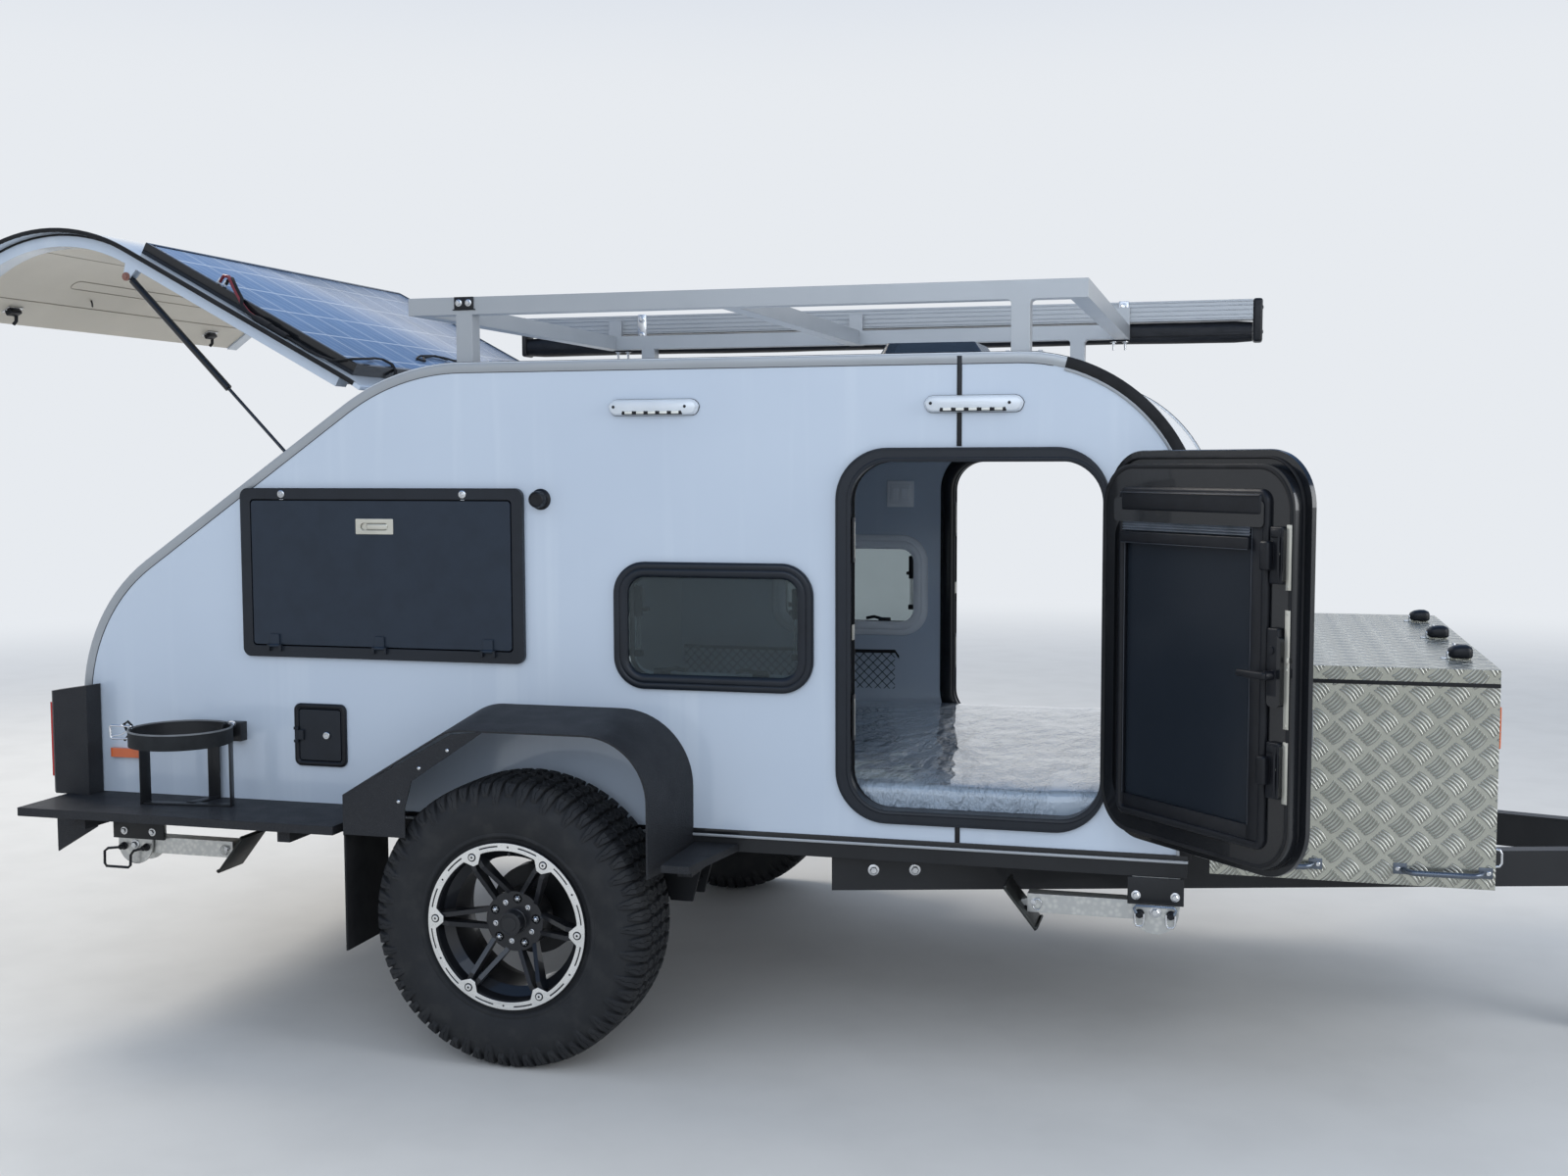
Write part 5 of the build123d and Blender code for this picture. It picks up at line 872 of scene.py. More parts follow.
for z in (968, 1452):
    inner.block((-660, -620), (z - 64, z + 64), (-39, -53), 4, 3)
    inner.block((-634, -606), (z - 34, z + 32), (-50, -72), 6, 3)
    inner.block((-656, -626), (z + 40, z + 58), (-50, -58), 3)
    inner.tube([(-650, z - 58, -53), (-652, z - 30, -57), (-652, z + 30, -57), (-650, z + 58, -53)], 3)
    bright.lathe([(4.2, 0), (4.2, 1.2), (3, 2), (0, 2)], (-649, z + 4, -52.5), 14, False, INWARDS)
    for shift in (-46, 50):
        bright.lathe([(2.6, 0), (2.6, 1), (0, 1.4)], (-649, z + shift, -52.5), 12, False, INWARDS)
inner.block((-656, -618), (1132, 1290), (-39, -56), 6, 3)
inner.tube([(-638, 1184, -50), (-638, 1184, -82)], 11, 18)
inner.block((-646, -556), (1176, 1192), (-78, -90), 5, 3)
inner.tube([(-636, 1240, -52), (-636, 1240, -60)], 9, 18)
for low, high in ((1375, 1521), (1064, 1331), (895, 1035)):
    bright.block((-676.5, -661), (low, high), (-39.2, -42.4), 0.8)
for z in (1383, 1513, 1072, 1323, 1198, 903, 1027):
    bright.lathe([(3, 0), (3, 0.7), (1.8, 1.2), (0, 1.2)], (-668.8, z, -42.4), 12, False, INWARDS)
bright.block((-677, -668), (1213, 1226), (-42, -46))
# Painted highlights: thin lighter lines along the edges of the screen frame's rails, pull bar and cassette
highlight_lines = door_piece("painted_highlights", worn_edge, "black_plastic")
for x, y, z in (((-560.6, -559.4), (830, 1536), (-47, -48)), ((-119.4, -118.2), (830, 1536), (-47, -48)),
                ((-558, -116), (1461.2, 1462.4), (-57, -60)), ((-590, -114), (1585.4, 1586.6), (-58, -62)),
                ((-594.6, -593.4), (832, 1520), (-47, -48))):
    highlight_lines.block(x, y, z, 0.3)
blind = door_piece("blind", grey_film, "vinyl")
folds = [[(x, 1490 + 40 * i / 12, -52 if i % 2 else -47) for x in (-556, -112)] for i in range(13)]
blind.loops(folds, False)
for fold in (folds[0], folds[-1]):
    blind.loops([fold, [(x, y, -40) for x, y, out in fold]], False)
screen = door_piece("screen", screen_tint, "acrylic")
screen.block((-592, -112), (796, 1500), (-33, -35), 0)
skin = door_piece("skin", white_gel, "panel_white")
skin.plate(rounded(*LEAF, 31, 14), [rounded(*PANE, 1, 12)], 2.2, 8)
grip = door_piece("grip", black_plastic, "black_plastic")
grip.block((-662, -612), (1118, 1262), (9.6, 16), 6, 3)
grip.block((-652, -622), (1132, 1214), (15, 19), 3)
grip.tube([(-637, 1140, 17), (-637, 1146, 34), (-637, 1154, 39), (-637, 1196, 39), (-637, 1204, 34),
           (-637, 1209, 18)], 6.5, 12)
grip.tube([(-637, 1240, 15), (-637, 1240, 19.5)], 11, 24)
for piece in (seal, rim, inner, bright, highlight_lines, blind, screen, skin, grip):
    piece.pair(35)

# Door frames: rounded mouldings round the openings and their seals
rim = Piece("door_mouldings", dark_frame, "black_frame", RIGHT)
rim.bezel((861, 1589, 686, 1699, 140), [
    (-0.4, 0), (-0.8, 9), (1.2, 13.6), (4.5, 15.4), (6.4, 15.7), (6.4, 12), (2, 8), (1, 0)], 16)
rim.bezel((903, 1571, 722, 1662, 104), [
    (0.2, 15.2), (-5.5, 15.2), (-7, 15.9), (-9, 16), (-11, 15.6), (-12, 14.6), (0.2, 13.5)], 16)
rim.done(50, True)
lining = Piece("door_linings", gloss_black, "black_frame", RIGHT)
lining.bezel((895, 1579, 714, 1670, 112), [
    (-44, -35.2), (-44, -38), (-39, -41), (2, -41.5), (6.5, -40), (8.6, -36), (8.6, -35)], 16)
lining.done(50, True)

# Wall edges: a pale angle round each side, a black insert over the roof and a black strip down the nose
NOSE_TOP = 78
edge = Piece("wall_edges", satin_alloy, "trim_alloy", RIGHT)
edge.band([(-0.4, -2), (-0.8, 1.2), (1, 2.0), (25, 2.0), (26, 1.2), (26, -1), (4, -2)])
edge.band([(24, 1), (25, 3.2), (32, 3.2), (33, 2.2), (33, 0)], NOSE_TOP)
edge.done(50, True)
beads = Piece("edge_beads", rubber, "black_rubber", RIGHT)
beads.band([(-2.6, -17), (-4.4, -15), (-5, -11), (-4.4, -7), (-2.6, -5)], 115, steps=20)
beads.band([(-3.2, -4), (-3.6, 2.2), (-2, 3.4), (23, 3.4), (25, 2.4), (25, 0)], NOSE_TOP)
beads.band([(26, 0), (26, 1.4), (27.4, 1.4), (27.4, 0)], end=NOSE_TOP)
beads.done(50, True)

# Rear lid, drawn closed and turned open: its rubber edge runs from the lid's foot to the hinge
LID_RUN = (None, 118.6, 18, 662)
edge = Piece("lid_edges", rubber, "black_rubber", LID_SIDE, "hatch")
for section in ([(-15.4, -9), (-16.6, -6), (-16.6, 0.3), (-15, 1.3), (-4.4, 1.3), (-3.2, 0.4), (-3.2, -2)],
                [(-2.8, -41.2), (-2.8, -37), (0, -36.2), (2.4, -37), (2.6, -41.2)]):
    edge.band(section, *LID_RUN)
edge.both_sides()
edge.plane = LID
foot_x = body_profile(-16, *LID_RUN)[0][0]
edge.block((foot_x, foot_x + 30), (-850, 850), (655, 659.5), 1.5)
edge.block((foot_x + 12, foot_x + 24), (-806, 806), (659.5, 668), 3)
edge.done(50)


def liner_x(z, inset=29.2):
    """Where the liner's face lies at a height of the closed lid."""
    if z < 857:
        return -1530.7 + (857 - z) * math.tan(TAIL_LEAN) + inset / math.cos(TAIL_LEAN)
    return -1000 - math.sqrt((535 - inset) ** 2 - (925 - z) ** 2)


pressing = Piece("liner_pressings", liner_shade, "liner", LID, "hatch")
slot_line = ring_points(22, 90, 270, 8, (-394, 892))
slot_line += [(-y, 2 * 892 - z) for y, z in slot_line]
slot_line.append(slot_line[0])
pressing.tube([(liner_x(z), y, z) for y, z in slot_line], 1.6, 8, False)
for z, radius in ((783, 1.8), (1060, 1.2)):
    pressing.tube([(liner_x(z), y, z) for y in (-748, 748)], radius, 8)
pressing.done(50)
catch = Piece("lid_catches", black_plastic, "black_plastic", LID, "hatch")
plates = Piece("lid_catch_plates", steel, "zinc", LID, "hatch")
x = liner_x(731)
for y in (-548, 548):
    plates.block((x - 1, x + 3), (y - 34, y + 34), (712, 750))
    catch.block((x + 2, x + 18), (y - 26, y + 26), (718, 744), 4, 3)
    catch.tube([(x + 12, y + 20, 722), (x + 30, y + 20, 712), (x + 34, y + 20, 698)], 6, 12)
    for shift in (-28, 28):
        plates.dome((x + 3, y + shift, 731), 3, 2, (1, 0, 0), 12)
x = liner_x(826)
catch.tube([(x, -254, 826), (x + 12, -254, 824), (x + 16, -244, 814)], 3)
catch.done()
plates.done()

# Solar panel: glass, its rims, and the leads with their plugs
glass = Piece("solar_glass", cells.material, "solar", LID_TOP, "hatch")
glass.block((12.5, 787.5), (-782.5, 782.5), (47.2, 48.4), 0.3)
glass.done()
rims = Piece("solar_rims", gloss_black, "black_frame", LID_TOP, "hatch")
for side in (-1, 1):
    rims.block((10, 790), (side * 783, side * 786), (48, 50.8), 0.5)
rims.block((788, 790.5), (-784, 784), (48, 50.8), 0.5)
rims.done()
leads = Piece("solar_leads", rubber, "black_rubber", LID_TOP, "hatch")
red_lead = Piece("solar_red_leads", red_wire, "black_rubber", LID_TOP, "hatch")
ends = Piece("lead_ends", white_trim, "zinc", LID_TOP, "hatch")
for shift, piece in ((0, red_lead), (13, leads)):
    piece.tube([(533 - shift, 772 - shift, 55), (526 - shift, 776 - shift, 78), (504 - shift, 784, 84),
                (474 - shift, 794, 68), (440 - shift, 800, 50), (412, 806 + shift * 0.4, 36),
                (380, 812 + shift * 0.5, 26), (346, 815 + shift * 0.5, 24)], 5.6, 12)
    ends.tube([(532 - shift, 772 - shift, 66), (536 - shift, 770 - shift, 50)], 7, 12)
for wide in (814, 824):
    leads.tube([(352, wide, 24), (340, wide, 24)], 7.5, 12)
    leads.tube([(340, wide, 24), (292, wide, 24)], 9.5, 12)
    leads.tube([(292, wide, 24), (284, wide, 23), (236, wide, 23), (228, wide, 22)], 8, 12)
    leads.tube([(228, wide, 22), (190, wide + 2, 21), (150, wide + 6, 20), (104, wide + 2, 22),
                (66, wide - 4, 28), (40, wide - 18, 44), (26, wide - 40, 56), (22, wide - 90, 62),
                (34, wide - 150, 60), (52, wide - 204, 56), (46, wide - 246, 58), (20, wide - 262, 56),
                (-4, wide - 258, 44), (-16, wide - 250, 24), (-20, wide - 246, 17)], 3.4)
leads.tube([(96, 262, 54), (108, 236, 55), (124, 190, 55), (138, 88, 55), (134, 0, 55), (118, -45, 55),
            (124, -120, 55), (130, -194, 55)], 3.6)
leads.tube([(96, 262, 54), (84, 250, 55), (82, 230, 55), (96, 210, 55), (112, 190, 55), (126, 90, 61),
            (122, 0, 55)], 3.6)
for piece in (leads, red_lead, ends):
    piece.done(50)

# Strut ends: brackets on the lid and ball studs on the walls
bracket = Piece("strut_brackets", primer, "black_steel", LID, "hatch")
stud = Piece("strut_studs", steel, "zinc")
for side in (-1, 1):
    bracket.lathe([(13, 0), (13, 3), (7, 3), (7, 6), (5, 7.5), (0, 7.5)], (-1246.4, side * 812, 1321.2), 20,
                  False, (0, side, 0))
    stud.lathe([(10, -4), (10, 2), (6, 4)], (-757, side * 813.5, 1604), 18, False, (0, -side, 0))
bracket.done()
stud.done()

# Toolbox: black strips under the lid as the painted shadow of its overhang, black knobs with clips, pull
# handles, latches, markers and hooks
# Painted shadow: thin black strips just proud of the box, where the lid's overhang casts its shadow
lid_shadow_strips = Piece("toolbox_lid_painted_shadow", rubber, "black_rubber")
for side in (-1, 1):
    lid_shadow_strips.block((1849.5, 2548.5), (side * 772.2, side * 775.6), (1093.5, 1103.5), 0.8)
lid_shadow_strips.block((2545.2, 2548.6), (-775.6, 775.6), (1093.5, 1103.5), 0.8)
lid_shadow_strips.done()
knobs = Piece("lid_knobs", black_plastic, "black_plastic", body="toolbox_lid")
clips = Piece("lid_clips", steel, "zinc", body="toolbox_lid")
for y in (-540, 0, 540):
    rows = []
    for x, wide, low, high in ((2447, 17, 1148, 1160), (2450, 23, 1144, 1167), (2462, 27, 1141, 1174),
                               (2478, 28, 1140, 1177), (2494, 27, 1140, 1177), (2505, 23, 1142, 1172),
                               (2508, 16, 1146, 1166)):
        rows.append([(x, y + wide * bulge(cosine, 0.6), (low + high + (high - low) * bulge(sine, 0.6)) / 2)
                     for cosine, sine in ring_points(1, steps=20)])
    knobs.loops(rows)
    knobs.block((2447.2, 2448.2), (y - 14, y + 14), (1149, 1159), 0)
    knobs.block((2507.2, 2508.2), (y - 14, y + 14), (1148, 1164), 0)
    clips.block((2444, 2453.5), (y - 16, y + 16), (1139.2, 1159), 2)
    clips.block((2430, 2446), (y - 13, y + 13), (1139, 1142.5))
for y in (-270, 270):
    clips.block((2488, 2516), (y - 26, y + 26), (1139, 1141.5))
    clips.tube([(2493, y - 18, 1143), (2493, y - 18, 1152), (2493, y + 18, 1152), (2493, y + 18, 1143)], 2.8)
    knobs.block((2499, 2511), (y - 14, y + 14), (1141.2, 1150), 3)
knobs.done(50)
clips.done()
pulls = Piece("toolbox_pulls", pull_steel, "black_steel")
screws = Piece("toolbox_screws", steel, "zinc")
for x in (2423, 2013):
    for end in (-1, 1):
        foot = x + end * 102
        pulls.block((foot - 17, foot + 17), (-778.2, -774.5), (609, 637), 1.5)
        screws.lathe([(6.2, 0), (6.2, 1.6), (4.8, 3), (2.2, 3), (2.2, 1.6), (0, 1.6)],
                     (foot + end * 6, -778.2, 623), 16, False, SIDEWAYS)
    pulls.tube([(x - 94, -778, 621), (x - 86, -792, 620), (x - 72, -800, 618.5), (x + 72, -800, 618.5),
                (x + 86, -792, 620), (x + 94, -778, 621)], 7.5, 14)
pulls.done(both=True)
screws.done(both=True)
paddle = Piece("side_latches", grey_latch, "black_plastic", side_plane(-779.2))
paddle.bezel((2040, 2102, 923, 1027, 12), [
    (-0.3, -2), (-0.3, 1.2), (1.5, 2.4), (7, 2.4), (8.5, 1.2), (8.5, -1)])
paddle.block((2050, 2092), (936, 1012), (-0.5, 2.2))
paddle.lathe([(8.5, 0), (8.5, 2.8), (7, 3.6), (3, 3.6), (3, 2), (0, 2)], (2071, 952, 2), 20, False)
paddle.done(both=True)
marks = Piece("box_markers", lens_amber, "lens")
hook = Piece("box_hooks", steel, "zinc")
for side in (-1, 1):
    marks.block((2547.8, 2554), (side * 728, side * 760), (938, 1044), 2, 3)
    y = side * 752
    hook.block((2548, 2550), (y - 10, y + 10), (628, 690), 0.6)
    hook.tube([(2549, y, 681), (2560, y, 679), (2565, y, 670), (2565, y, 645), (2560, y, 637),
               (2549, y, 636)], 3)
marks.done()
hook.done()

# Inside: switch plates, striker plates on the door posts, the net pocket and the wrapped mattress
plates = Piece("switch_plates", bright_white, "panel_white", INSIDE_LEFT)
plates.block((652, 752), (1496, 1593), (-1, 8), 3, 3)
plates.block((665, 739), (1509, 1580), (7, 11.5), 2)
for x in (684, 720):
    plates.block((x - 13, x + 13), (1522, 1567), (11, 14.5), 3, 3)
plates.done(both=True)
striker = Piece("door_strikers", black_plastic, "black_plastic")
striker_lines = Piece("striker_lines", silver_bar, "trim_alloy")
for side in (-1, 1):
    for low, high in ((906, 1031), (1391, 1513)):
        striker.block((902.2, 906.6), (side * 822, side * 850), (low, high), 1.2)
        striker_lines.block((906, 907.4), (side * 829, side * 835), (low + 12, high - 12), 0.4)
    striker_lines.block((902.2, 904.8), (side * 826, side * 848), (1180, 1222), 0.6)
striker.done()
striker_lines.done()

net_paint = varied("pocket_net", (0.02, 0.022, 0.026), 0.7, 0, 0, 0, 2, 0.3)
wide_run, tall_run = split(net_paint.tree, net_paint.place())[::2]
strands = [run.cell(34, 40.0).step("ABSOLUTE") for run in (wide_run + tall_run, wide_run - tall_run)]
strand = strands[0].step("MAXIMUM", strands[1]).smooth(0.435, 0.45)
net_paint.tree.links.new(strand.socket, net_paint.shader.inputs["Alpha"])
NET = [(-140 + 822 * j / 24, 1 - (j / 12 - 1) ** 6) for j in range(25)]
pocket = Piece("net_pocket", net_paint.material, "black_plastic", INSIDE_LEFT)
pocket.loops([[(x, 822 + 138 * i / 8, 2 + 16 * (i / 8) ** 1.5 * sag) for x, sag in NET] for i in range(9)],
             False)
net = pocket.done(80)
hem = Piece("pocket_band", rubber, "black_plastic", INSIDE_LEFT)
hem.loops([[(x, 962 + z, 16 * sag + 2 + out) for x, sag in NET] + [(697, 940 + z, 1.5 + out)]
           for out, z in ((0, -6), (1.6, -6), (1.6, 6), (0, 6))], False, True)
hem.done(50)

# The wrap's blue-grey colour is a painted reflection: it stands in for the sky that the clear film reflects
wrap = Paint("mattress_wrap", (0.36, 0.43, 0.51), 0.16, 0, 1.0, 0)
creases = wrap.noise(160, (1.0, 0.35, 0.6), 6, 0.62)
fine_creases = wrap.noise(35, (0.5, 1.4, 0.8))
wrap.bump(creases.smooth(0.35, 0.65), 22)
wrap.bump(fine_creases, 3, 0.7)
wrap.tint(creases.smooth(0.52, 0.66) * 0.5, (0.36, 0.42, 0.50))
wrap.roughen(fine_creases, 0.08, 0.3)
bed = Piece("mattress_wrapped", wrap.material, "bedding")
bed_low, bed_high = Vector((-0.144, -0.810, 0.6606)), Vector((1.762, 0.810, 0.792))
half = (bed_high - bed_low) / 2
bed_mesh = bmesh.new()
bmesh.ops.create_cube(bed_mesh, size=2)
for tall, cuts in ((False, 70), (True, 9)):
    chosen = [e for e in bed_mesh.edges if (abs(e.verts[0].co.z - e.verts[1].co.z) > 0.1) == tall]
    bmesh.ops.subdivide_edges(bed_mesh, edges=chosen, cuts=cuts, use_grid_fill=True)
for vert in bed_mesh.verts:
    x, y, z = vert.co
    corner = min((1 - abs(x)) * half.x, (1 - abs(y)) * half.y)
    pull = 1 - math.exp(-corner / 0.03)
    lift = (1 - math.exp(-corner / 0.18)) * 0.6 + 0.4
    side_pull = 1 - 0.012 * abs(z) ** 3
    place = Vector((x * half.x * side_pull, y * half.y * side_pull, z * half.z))
    crumple = (noise.noise(Vector((place.x * 9, place.y * 4, z * 1.5))) * 0.5
               + noise.noise(Vector((place.x * 26, place.y * 11, z * 4))) * 0.3)
    if z > 0:
        place.z = half.z * (0.80 + 0.17 * pull * lift) * z ** 0.9 + crumple * 0.007 * z
    ridge = 0.004 * crumple * (1 - abs(z))
    if abs(x) > 0.999:
        place.x -= math.copysign(0.004 - ridge, x)
    if abs(y) > 0.999:
        place.y -= math.copysign(0.004 - ridge, y)
    vert.co = place + (bed_low + bed_high) / 2
bed.take(bed_mesh, AHEAD)
mattress_piece = bed.done(60)
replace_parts(mattress_piece, "mattress")

# Roof rack: bolted brackets on the rear legs, U-bolts and clamps that hold the awning
brackets = Piece("rack_brackets", black_plastic, "black_steel")
bolts = Piece("rack_bolts", steel, "zinc")
for side in (-1, 1):
    brackets.block((-283, -223), (side * 799.5, side * 804), (2101, 2138.5))
    for x in (-268, -238):
        bolts.bolt((x, side * 803.8, 2121), 6.8, 6, (0, side, 0))
    for x in (-298, -210, 1302, 1390):
        bolts.bolt((x, side * 725, 1951.2), 6.5, 6)
brackets.block((-288, -218), (-804, -790), (2100.5, 2103.5), 0.8)
for x in (-376, 1487):
    brackets.block((x - 34, x + 34), (800, 822.5), (2083, 2087.5))
    for place in (x - 20, x + 20):
        bolts.tube([(place, 811, 2088), (place, 811, 2052)], 4.2, 12)
        bolts.bolt((place, 811, 2083), 7.8, 8, (0, 0, -1))
for x in (-303, 1500):
    bolts.block((x - 17, x + 17), (820.5, 826.2), (2129, 2224), 1.2)
    for z in (2146, 2205):
        bolts.bolt((x, 820.5, z), 8.2, 8, SIDEWAYS)
brackets.done()
bolts.done()

# Awning: ribs and caps of its case, and the cover with its seams
CASE = (-784, 1939)
ribs = Piece("awning_ribs", satin_alloy, "trim_alloy")
for z in (2156, 2168, 2184, 2200, 2213):
    ribs.block(CASE, (823.6, 826.2), (z, z + 3.4), 0.8)
for y in (842, 866, 889):
    ribs.block(CASE, (y, y + 4), (2220.5, 2222.6), 0.8)
ribs.done()
caps = Piece("awning_caps", black_plastic, "black_plastic")
for near, far, way in ((-784.5, -803, -1), (1939.5, 1972, 1)):
    caps.block((near, far), (823.2, 906.2), (2074, 2224.2), 9, 3)
    for z in (2110, 2195):
        caps.dome((far, 864.7, z), 7, 3, (way, 0, 0))
caps.done()
vinyl = varied("bag_vinyl", (0.010, 0.011, 0.014), 0.46, 0, 0, 0, 1.2, 0.4, 0.3)
vinyl.bump(vinyl.noise(50, (0.25, 1, 1)).smooth(0.35, 0.7), 3, 0.7)
bag = Piece("awning_cover", vinyl.material, "vinyl")
bag_rows = []
for i in range(91):
    share = i / 90
    x = CASE[0] + (CASE[1] - CASE[0]) * share
    full = 0.90 + 0.10 * min(min(i, 90 - i) / 2, 1)
    row = []
    for cosine, sine in ring_points(1, steps=28):
        swell = 0.985 + 0.03 * noise.noise(Vector(((AXLE + x * MM) * 5, cosine * 1.2, sine * 1.2)))
        hang = 1.0 if sine > 0 else 0.97 + 0.03 * math.cos(share * 6 * math.pi)
        row.append((x, 864.7 + 36.2 * full * swell * bulge(cosine, 0.7),
                    2110.8 + 37.8 * full * swell * hang * bulge(sine, 0.75)))
    bag_rows.append(row)
bag.loops(bag_rows, caps=True)
cover = bag.done(60)
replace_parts(cover, "awning_bag")
seam = Piece("awning_cover_seams", rubber, "vinyl")
for y in (828.5, 900.8):
    seam.tube([(-780, y, 2098.5), (1935, y, 2098.5)], 1.6, 8)
seam.done()

# Roof vent: white flange with screws round the dark dome
vent = Piece("vent_flange", white_trim, "panel_white", Matrix.Translation((AXLE, 0, 1.957)))
vent.bezel((784, 1186, -201, 201, 18), [(0, -11), (0, 0.5), (2, 2), (12, 2.4), (15.5, 1), (15.5, -1)])
vent.done(50)
screws = Piece("vent_screws", steel, "zinc")
for x in (792, 985, 1178):
    for y in (-193, 0, 193):
        if (x, y) != (985, 0):
            screws.dome((x, y, 1959.2), 4.2, 2.2, steps=12)
screws.done()

# Mudguards: pale bolts on the side plates, and washers inside the arch
guard_bolts = Piece("guard_bolts", steel, "zinc")
for x, z in ((-160, 882), (-246, 829), (-310, 733)):
    guard_bolts.dome((x, -1140.2, z), 5.6, 3.4, SIDEWAYS)
for x, z in ((-400, 652.5), (300, 602.5)):
    guard_bolts.bolt((x, -1000, z), 6, 5)
guard_bolts.done(both=True)

# Bottle holder: webbing round the ring with its pale edge, wire buckle and the clamp's bolt
HOLDER = (-1085, -1010, 843)
webbing = Piece("holder_strap", black_strap, "black_rubber")
webbing.lathe([(144.2, -1), (146.6, -1), (146.6, 42.5), (144.2, 42.5), (144.2, -1)], HOLDER, 72, False)
webbing.tube([(-1216, -1050, 862), (-1236, -1056, 884), (-1242, -1058, 900), (-1230, -1056, 908),
              (-1220, -1052, 896), (-1224, -1054, 870), (-1244, -1056, 852)], 4.2, 8)
webbing.done(50)
edge = Piece("holder_strap_edge", grey_strap, "black_rubber")
edge.lathe([(143.6, 42.3), (147.8, 42.3), (147.8, 46.8), (143.6, 46.8), (143.6, 42.3)], HOLDER, 72, False)
edge.done(50)
buckle = Piece("holder_buckle", chrome, "chrome_rod")
buckle.tube([(-1212, -1060, 894), (-1280, -1064, 896), (-1286, -1064, 892), (-1284, -1064, 862),
             (-1278, -1064, 857), (-1212, -1060, 858)], 2.8)
buckle.tube([(-1216, -1058, 888), (-1250, -1062, 870), (-1280, -1064, 864)], 2.2, 8)
buckle.block((-1226, -1204), (-1066, -1062), (850, 868))
buckle.bolt((-992, -889.6, 882), 9, 7, SIDEWAYS)
buckle.done()

# Stabilisers: black brackets with pale bolts, pivot bolts, spring pins with their pull handles, dark feet
outriggers = Piece("leg_brackets", chassis, "black_steel")
leg_bolts = Piece("leg_bolts", steel, "zinc")
dark_pins = Piece("leg_pins", black_plastic, "black_steel")
leg_pulls = Piece("leg_pulls", blue_steel, "zinc")
for place, centre, wide in ((1716, 1716, 72), (-1370, -1355, 90)):
    reach = (centre - wide, centre + wide)
    outriggers.block(reach, (-856, -851.2), (511, 579), 1.2)
    outriggers.block(reach, (-856, -846), (507, 511.8))
    for x in (centre - 50, centre + 50):
        leg_bolts.bolt((x, -855.8, 531), 8.2, 7, SIDEWAYS)
    leg_bolts.bolt((place, -851.2, 488), 10.5, 9, SIDEWAYS)
    for x in (place - 40, place + 40):
        dark_pins.lathe([(12, 0), (12, 4), (8.5, 6), (8.5, 20), (6.5, 22), (0, 22)], (x, -851.2, 482), 18,
                        False, SIDEWAYS)
leg_pulls.tube([(1668, -872, 488), (1662, -874, 500), (1668, -875, 508), (1764, -875, 508),
                (1770, -874, 500), (1764, -872, 488)], 3.4)
for x in (1664, 1744):
    leg_bolts.tube([(x, -871, 486), (x + 1, -873, 462), (x + 5, -874, 454), (x + 19, -874, 454),
                    (x + 23, -873, 462), (x + 24, -871, 486)], 3)
dark_pins.tube([(-1410, -872, 482), (-1452, -874, 477), (-1463, -876, 468), (-1464, -876, 430),
                (-1458, -876, 421), (-1380, -876, 421), (-1372, -876, 428), (-1370, -876, 460),
                (-1360, -874, 474), (-1330, -872, 482)], 4.2, 12)
for piece in (outriggers, leg_bolts, dark_pins, leg_pulls):
    piece.done(both=True)
LEG_LEAN = math.radians(52)
for name, place, way in (("front", 1716, -1), ("rear", -1370, 1)):
    leg = "stabiliser_" + name + "_right"
    foot_x = place + way * 349
    pad = Piece("foot_pad_" + name + "_right", foot_steel, "black_steel", Matrix((
        (0, math.cos(LEG_LEAN), way * math.sin(LEG_LEAN), AXLE + foot_x * MM), (1, 0, 0, -0.815),
        (0, way * math.sin(LEG_LEAN), -math.cos(LEG_LEAN), 0.482), (0, 0, 0, 1))), leg)
    pad.block((-65.5, 65.5), (-70.5, 70.5), (-0.6, 5.8), 1.2)
    pad.block((-65.5, 65.5), (64, 71), (-5, 5.8), 1.5)
    pad.block((-65.5, 65.5), (-71, -64), (-5, 5.8), 1.5)
    pad.pair()
    pin = Piece("foot_pin_" + name + "_right", steel, "zinc", body=leg)
    x = place + way * 318
    pin.lathe([(8, 0), (8, 3), (5.5, 3), (5.5, 9), (0, 9.5)], (x, -840.2, 492), 16, False, SIDEWAYS)
    wire = [(x + 12 * cosine - way * 10, -846, 486 + 15 * sine) for cosine, sine in ring_points(1, steps=16)]
    pin.tube(wire + wire[:1], 1.6, 8, False)
    pin.pair()

# Drawbar: bolts through the rails and the head plates, and the coupling lever's grip
drawbar_bolts = Piece("drawbar_bolts", steel, "zinc")
for x in (950, 1060):
    drawbar_bolts.bolt((x, 0.287 * (x - 839) - 819.2, 537), 10.5, 9, (0.276, -0.961, 0))
for x, y in ((3215, -92), (3320, -62), (3440, -42)):
    drawbar_bolts.bolt((x, y, 590.2), 9.5, 9)
drawbar_bolts.done(both=True)
grip = Piece("coupling_grip", rubber, "black_rubber")
grip.tube([(3326 - 0.6 * t, 0, 666 + 0.8 * t) for t in (58, 62, 74, 86, 98, 110, 121, 124)], 12.2, 16)
grip.done(60)

# Galley: bow pulls on the drawers, a lip on the bench, and striker plates for the lid's two catches
pulls = Piece("drawer_pulls", dark_rod, "black_steel")
DRAWER_FACE = -1397
near, bend, far = DRAWER_FACE + 1, DRAWER_FACE - 17, DRAWER_FACE - 22
for y in (-544, 0, 544):
    for z in (768, 918):
        pulls.tube([(near, y - 64, z), (bend, y - 64, z), (far, y - 58, z), (far, y + 58, z),
                    (bend, y + 64, z), (near, y + 64, z)], 5)
for y in (-390, 390):
    pulls.block((-1472, -1440), (y - 26, y + 26), (606, 609.5), 1.2)
pulls.done()
bench_lip = Piece("bench_lip", ply, "plywood")
bench_lip.block((-1408.5, -1404), (-815, 815), (958, 986.5), 1.5)
bench_lip.done()

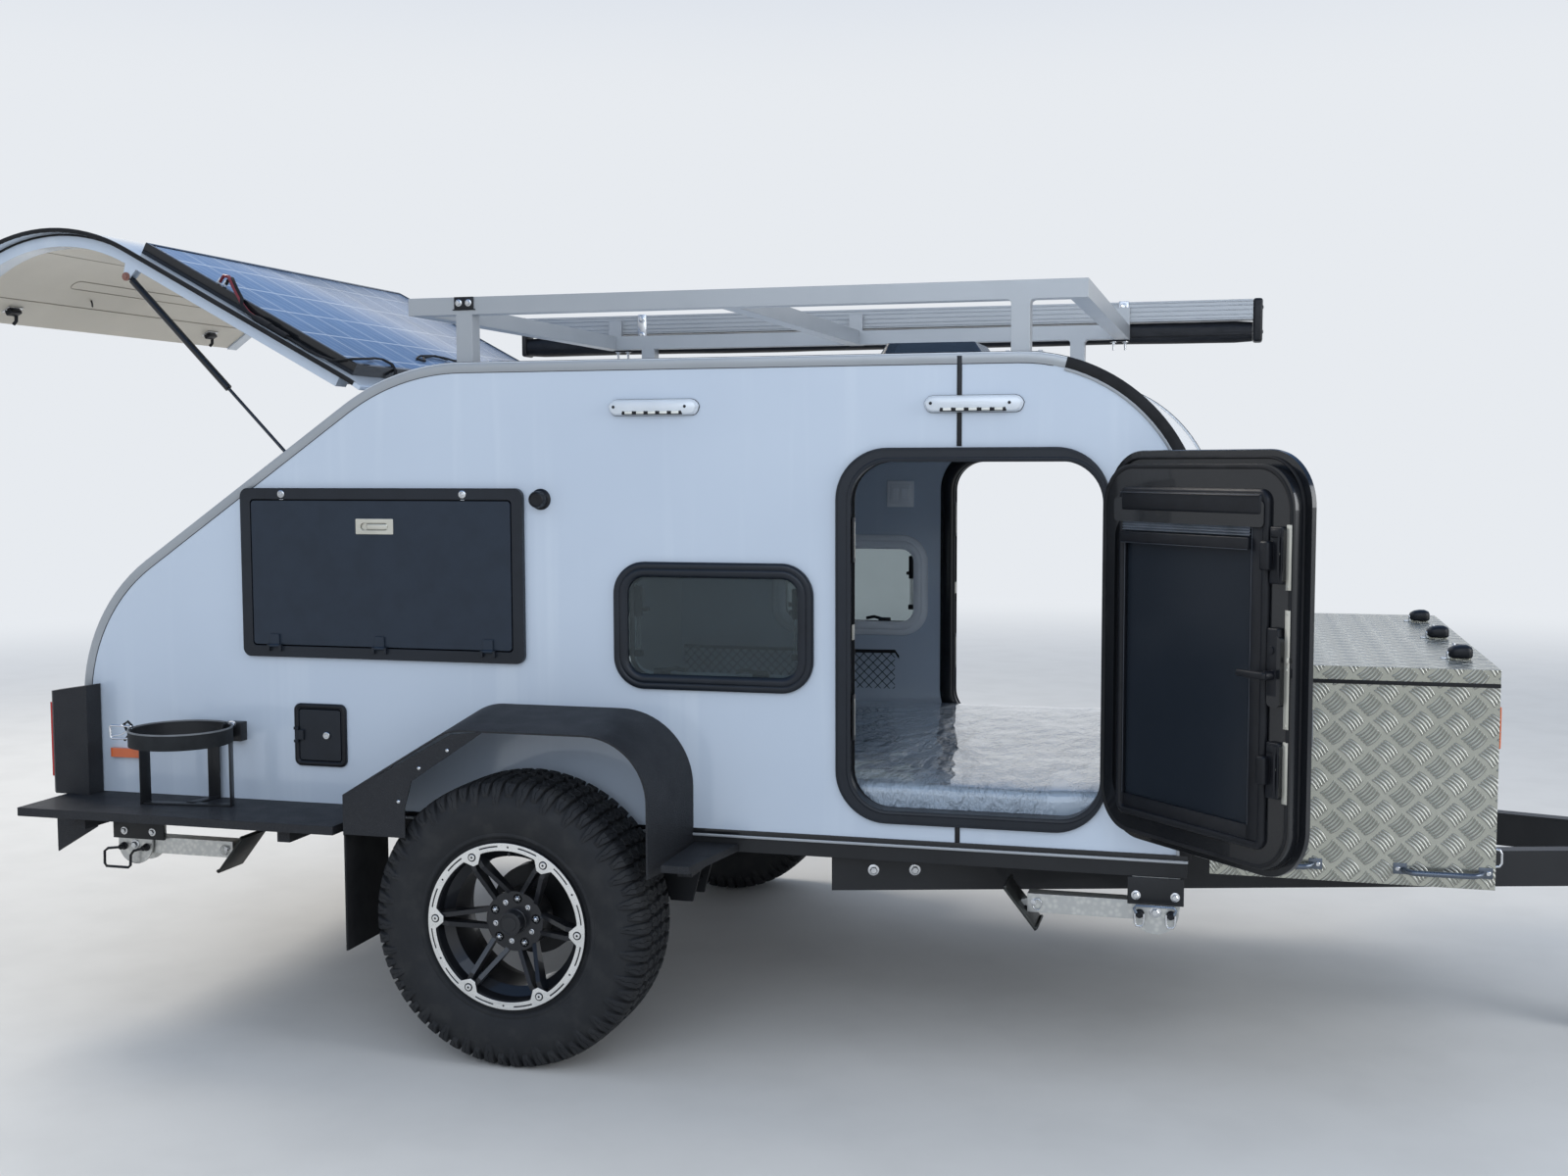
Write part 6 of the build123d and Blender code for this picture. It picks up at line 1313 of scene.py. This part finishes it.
# Bottle holder: a ring on three flat legs with a strip between their feet, held to the wall by its block
holder = Piece("holder_frame", chassis, "black_steel")
holder.lathe([(140, 0), (144, 0), (144, 43), (140, 43), (140, 0)], HOLDER, 80, False)
holder.block((-1020, -965), (-887, -853), (832, 889), 1.5)
holder.block((-1012, -1008), (-914, -880), (846, 886), 0.8)
feet = []
for degrees in (172, 21, 85):
    x, y = polar(142, degrees)
    feet.append(Vector((HOLDER[0] + x, HOLDER[1] + y)))
    holder.plane = Matrix.Translation(at(*feet[-1], 0)) @ Matrix.Rotation(math.radians(degrees), 4, "Z")
    holder.block((-2.2, 2.2), (-21, 21), (652.2, 870), 0.6)
for start, end in ((feet[0], feet[1]), ((feet[0] + feet[1]) / 2, feet[2])):
    way = end - start
    holder.plane = Matrix.Translation(at(*start, 652.2)) @ Matrix.Rotation(math.atan2(way.y, way.x), 4, "Z")
    holder.block((0, way.length), (-16, 16), (0, 4.5), 0.6)
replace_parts(holder.done(), "bottle_holder")

# Stage: pale floor that fades into the backdrop, and soft studio light
BACKDROP = (0.80, 0.83, 0.87)
REACH = 60
floor_mesh = bpy.data.meshes.new("floor")
floor_mesh.from_pydata([(-REACH, -REACH, 0), (REACH, -REACH, 0), (REACH, REACH, 0), (-REACH, REACH, 0)], [],
                       [(0, 1, 2, 3)])
floor = add("floor", floor_mesh)
ground = varied("ground", (0.66, 0.65, 0.63), 0.85, bevel=0, grain=10, vary=0.06)
floor_mesh.materials.append(ground.material)


def seen_ray(tree):
    """1 for rays of the camera and for what mirrors or glass show, otherwise 0."""
    path = tree.nodes.new("ShaderNodeLightPath")
    rays = Sum(tree, path.outputs["Is Camera Ray"])
    for name in ("Is Glossy Ray", "Is Transmission Ray"):
        rays = rays.step("MAXIMUM", Sum(tree, path.outputs[name]))
    return rays


def blend(tree, share, first, second, end):
    """Mixes two shaders into the end of a tree."""
    mixer = tree.nodes.new("ShaderNodeMixShader")
    for place, socket in enumerate((share.socket, first.outputs[0], second.outputs[0])):
        tree.links.new(socket, mixer.inputs[place])
    tree.links.new(mixer.outputs[0], tree.nodes[end].inputs["Surface"])


distance = ground.tree.nodes.new("ShaderNodeVectorMath")
distance.operation = "LENGTH"
ground.tree.links.new(ground.place((1, 1, 0)), distance.inputs[0])
fade = Sum(ground.tree, distance.outputs["Value"]).smooth(6.5, 15.0) * seen_ray(ground.tree)
glow = ground.tree.nodes.new("ShaderNodeEmission")
glow.inputs[0].default_value = (*BACKDROP, 1)
blend(ground.tree, fade, ground.shader, glow, "Material Output")

world = bpy.data.worlds.new("studio")
bpy.context.scene.world = world
world.use_nodes = True
sky = world.node_tree
light = sky.nodes["Background"]
light.inputs[0].default_value = (0.66, 0.74, 0.86, 1)
light.inputs[1].default_value = 0.92
view = sky.nodes.new("ShaderNodeBackground")
direction = sky.nodes.new("ShaderNodeTexCoord").outputs["Generated"]
tone = sky.nodes.new("ShaderNodeMix")
tone.data_type = "RGBA"
tone.inputs[6].default_value = (*BACKDROP, 1)
tone.inputs[7].default_value = (0.16, 0.30, 0.58, 1)
sky.links.new(split(sky, direction)[2].smooth(0.20, 0.52).socket, tone.inputs[0])
sky.links.new(tone.outputs[2], view.inputs[0])
blend(sky, seen_ray(sky), light, view, "World Output")


def lamp(name, place, size, power, colour):
    """Soft light that shines on the middle of the part."""
    data = bpy.data.lights.new(name, "AREA")
    data.shape = "RECTANGLE"
    data.size, data.size_y = size
    data.energy = power
    data.color = colour
    made = add(name, data)
    made.location = place
    made.rotation_mode = "QUATERNION"
    made.rotation_quaternion = (Vector((0, 0, 1)) - Vector(place)).to_track_quat("-Z", "Y")


lamp("key", (-6.0, 2.5, 7.5), (4, 4), 470, (1.0, 0.93, 0.82))
lamp("front", (1.0, -8.0, 4.5), (7, 4), 170, (0.82, 0.90, 1.0))
lamp("nose", (6.5, -2.0, 3.0), (3, 3), 150, (0.95, 0.97, 1.0))
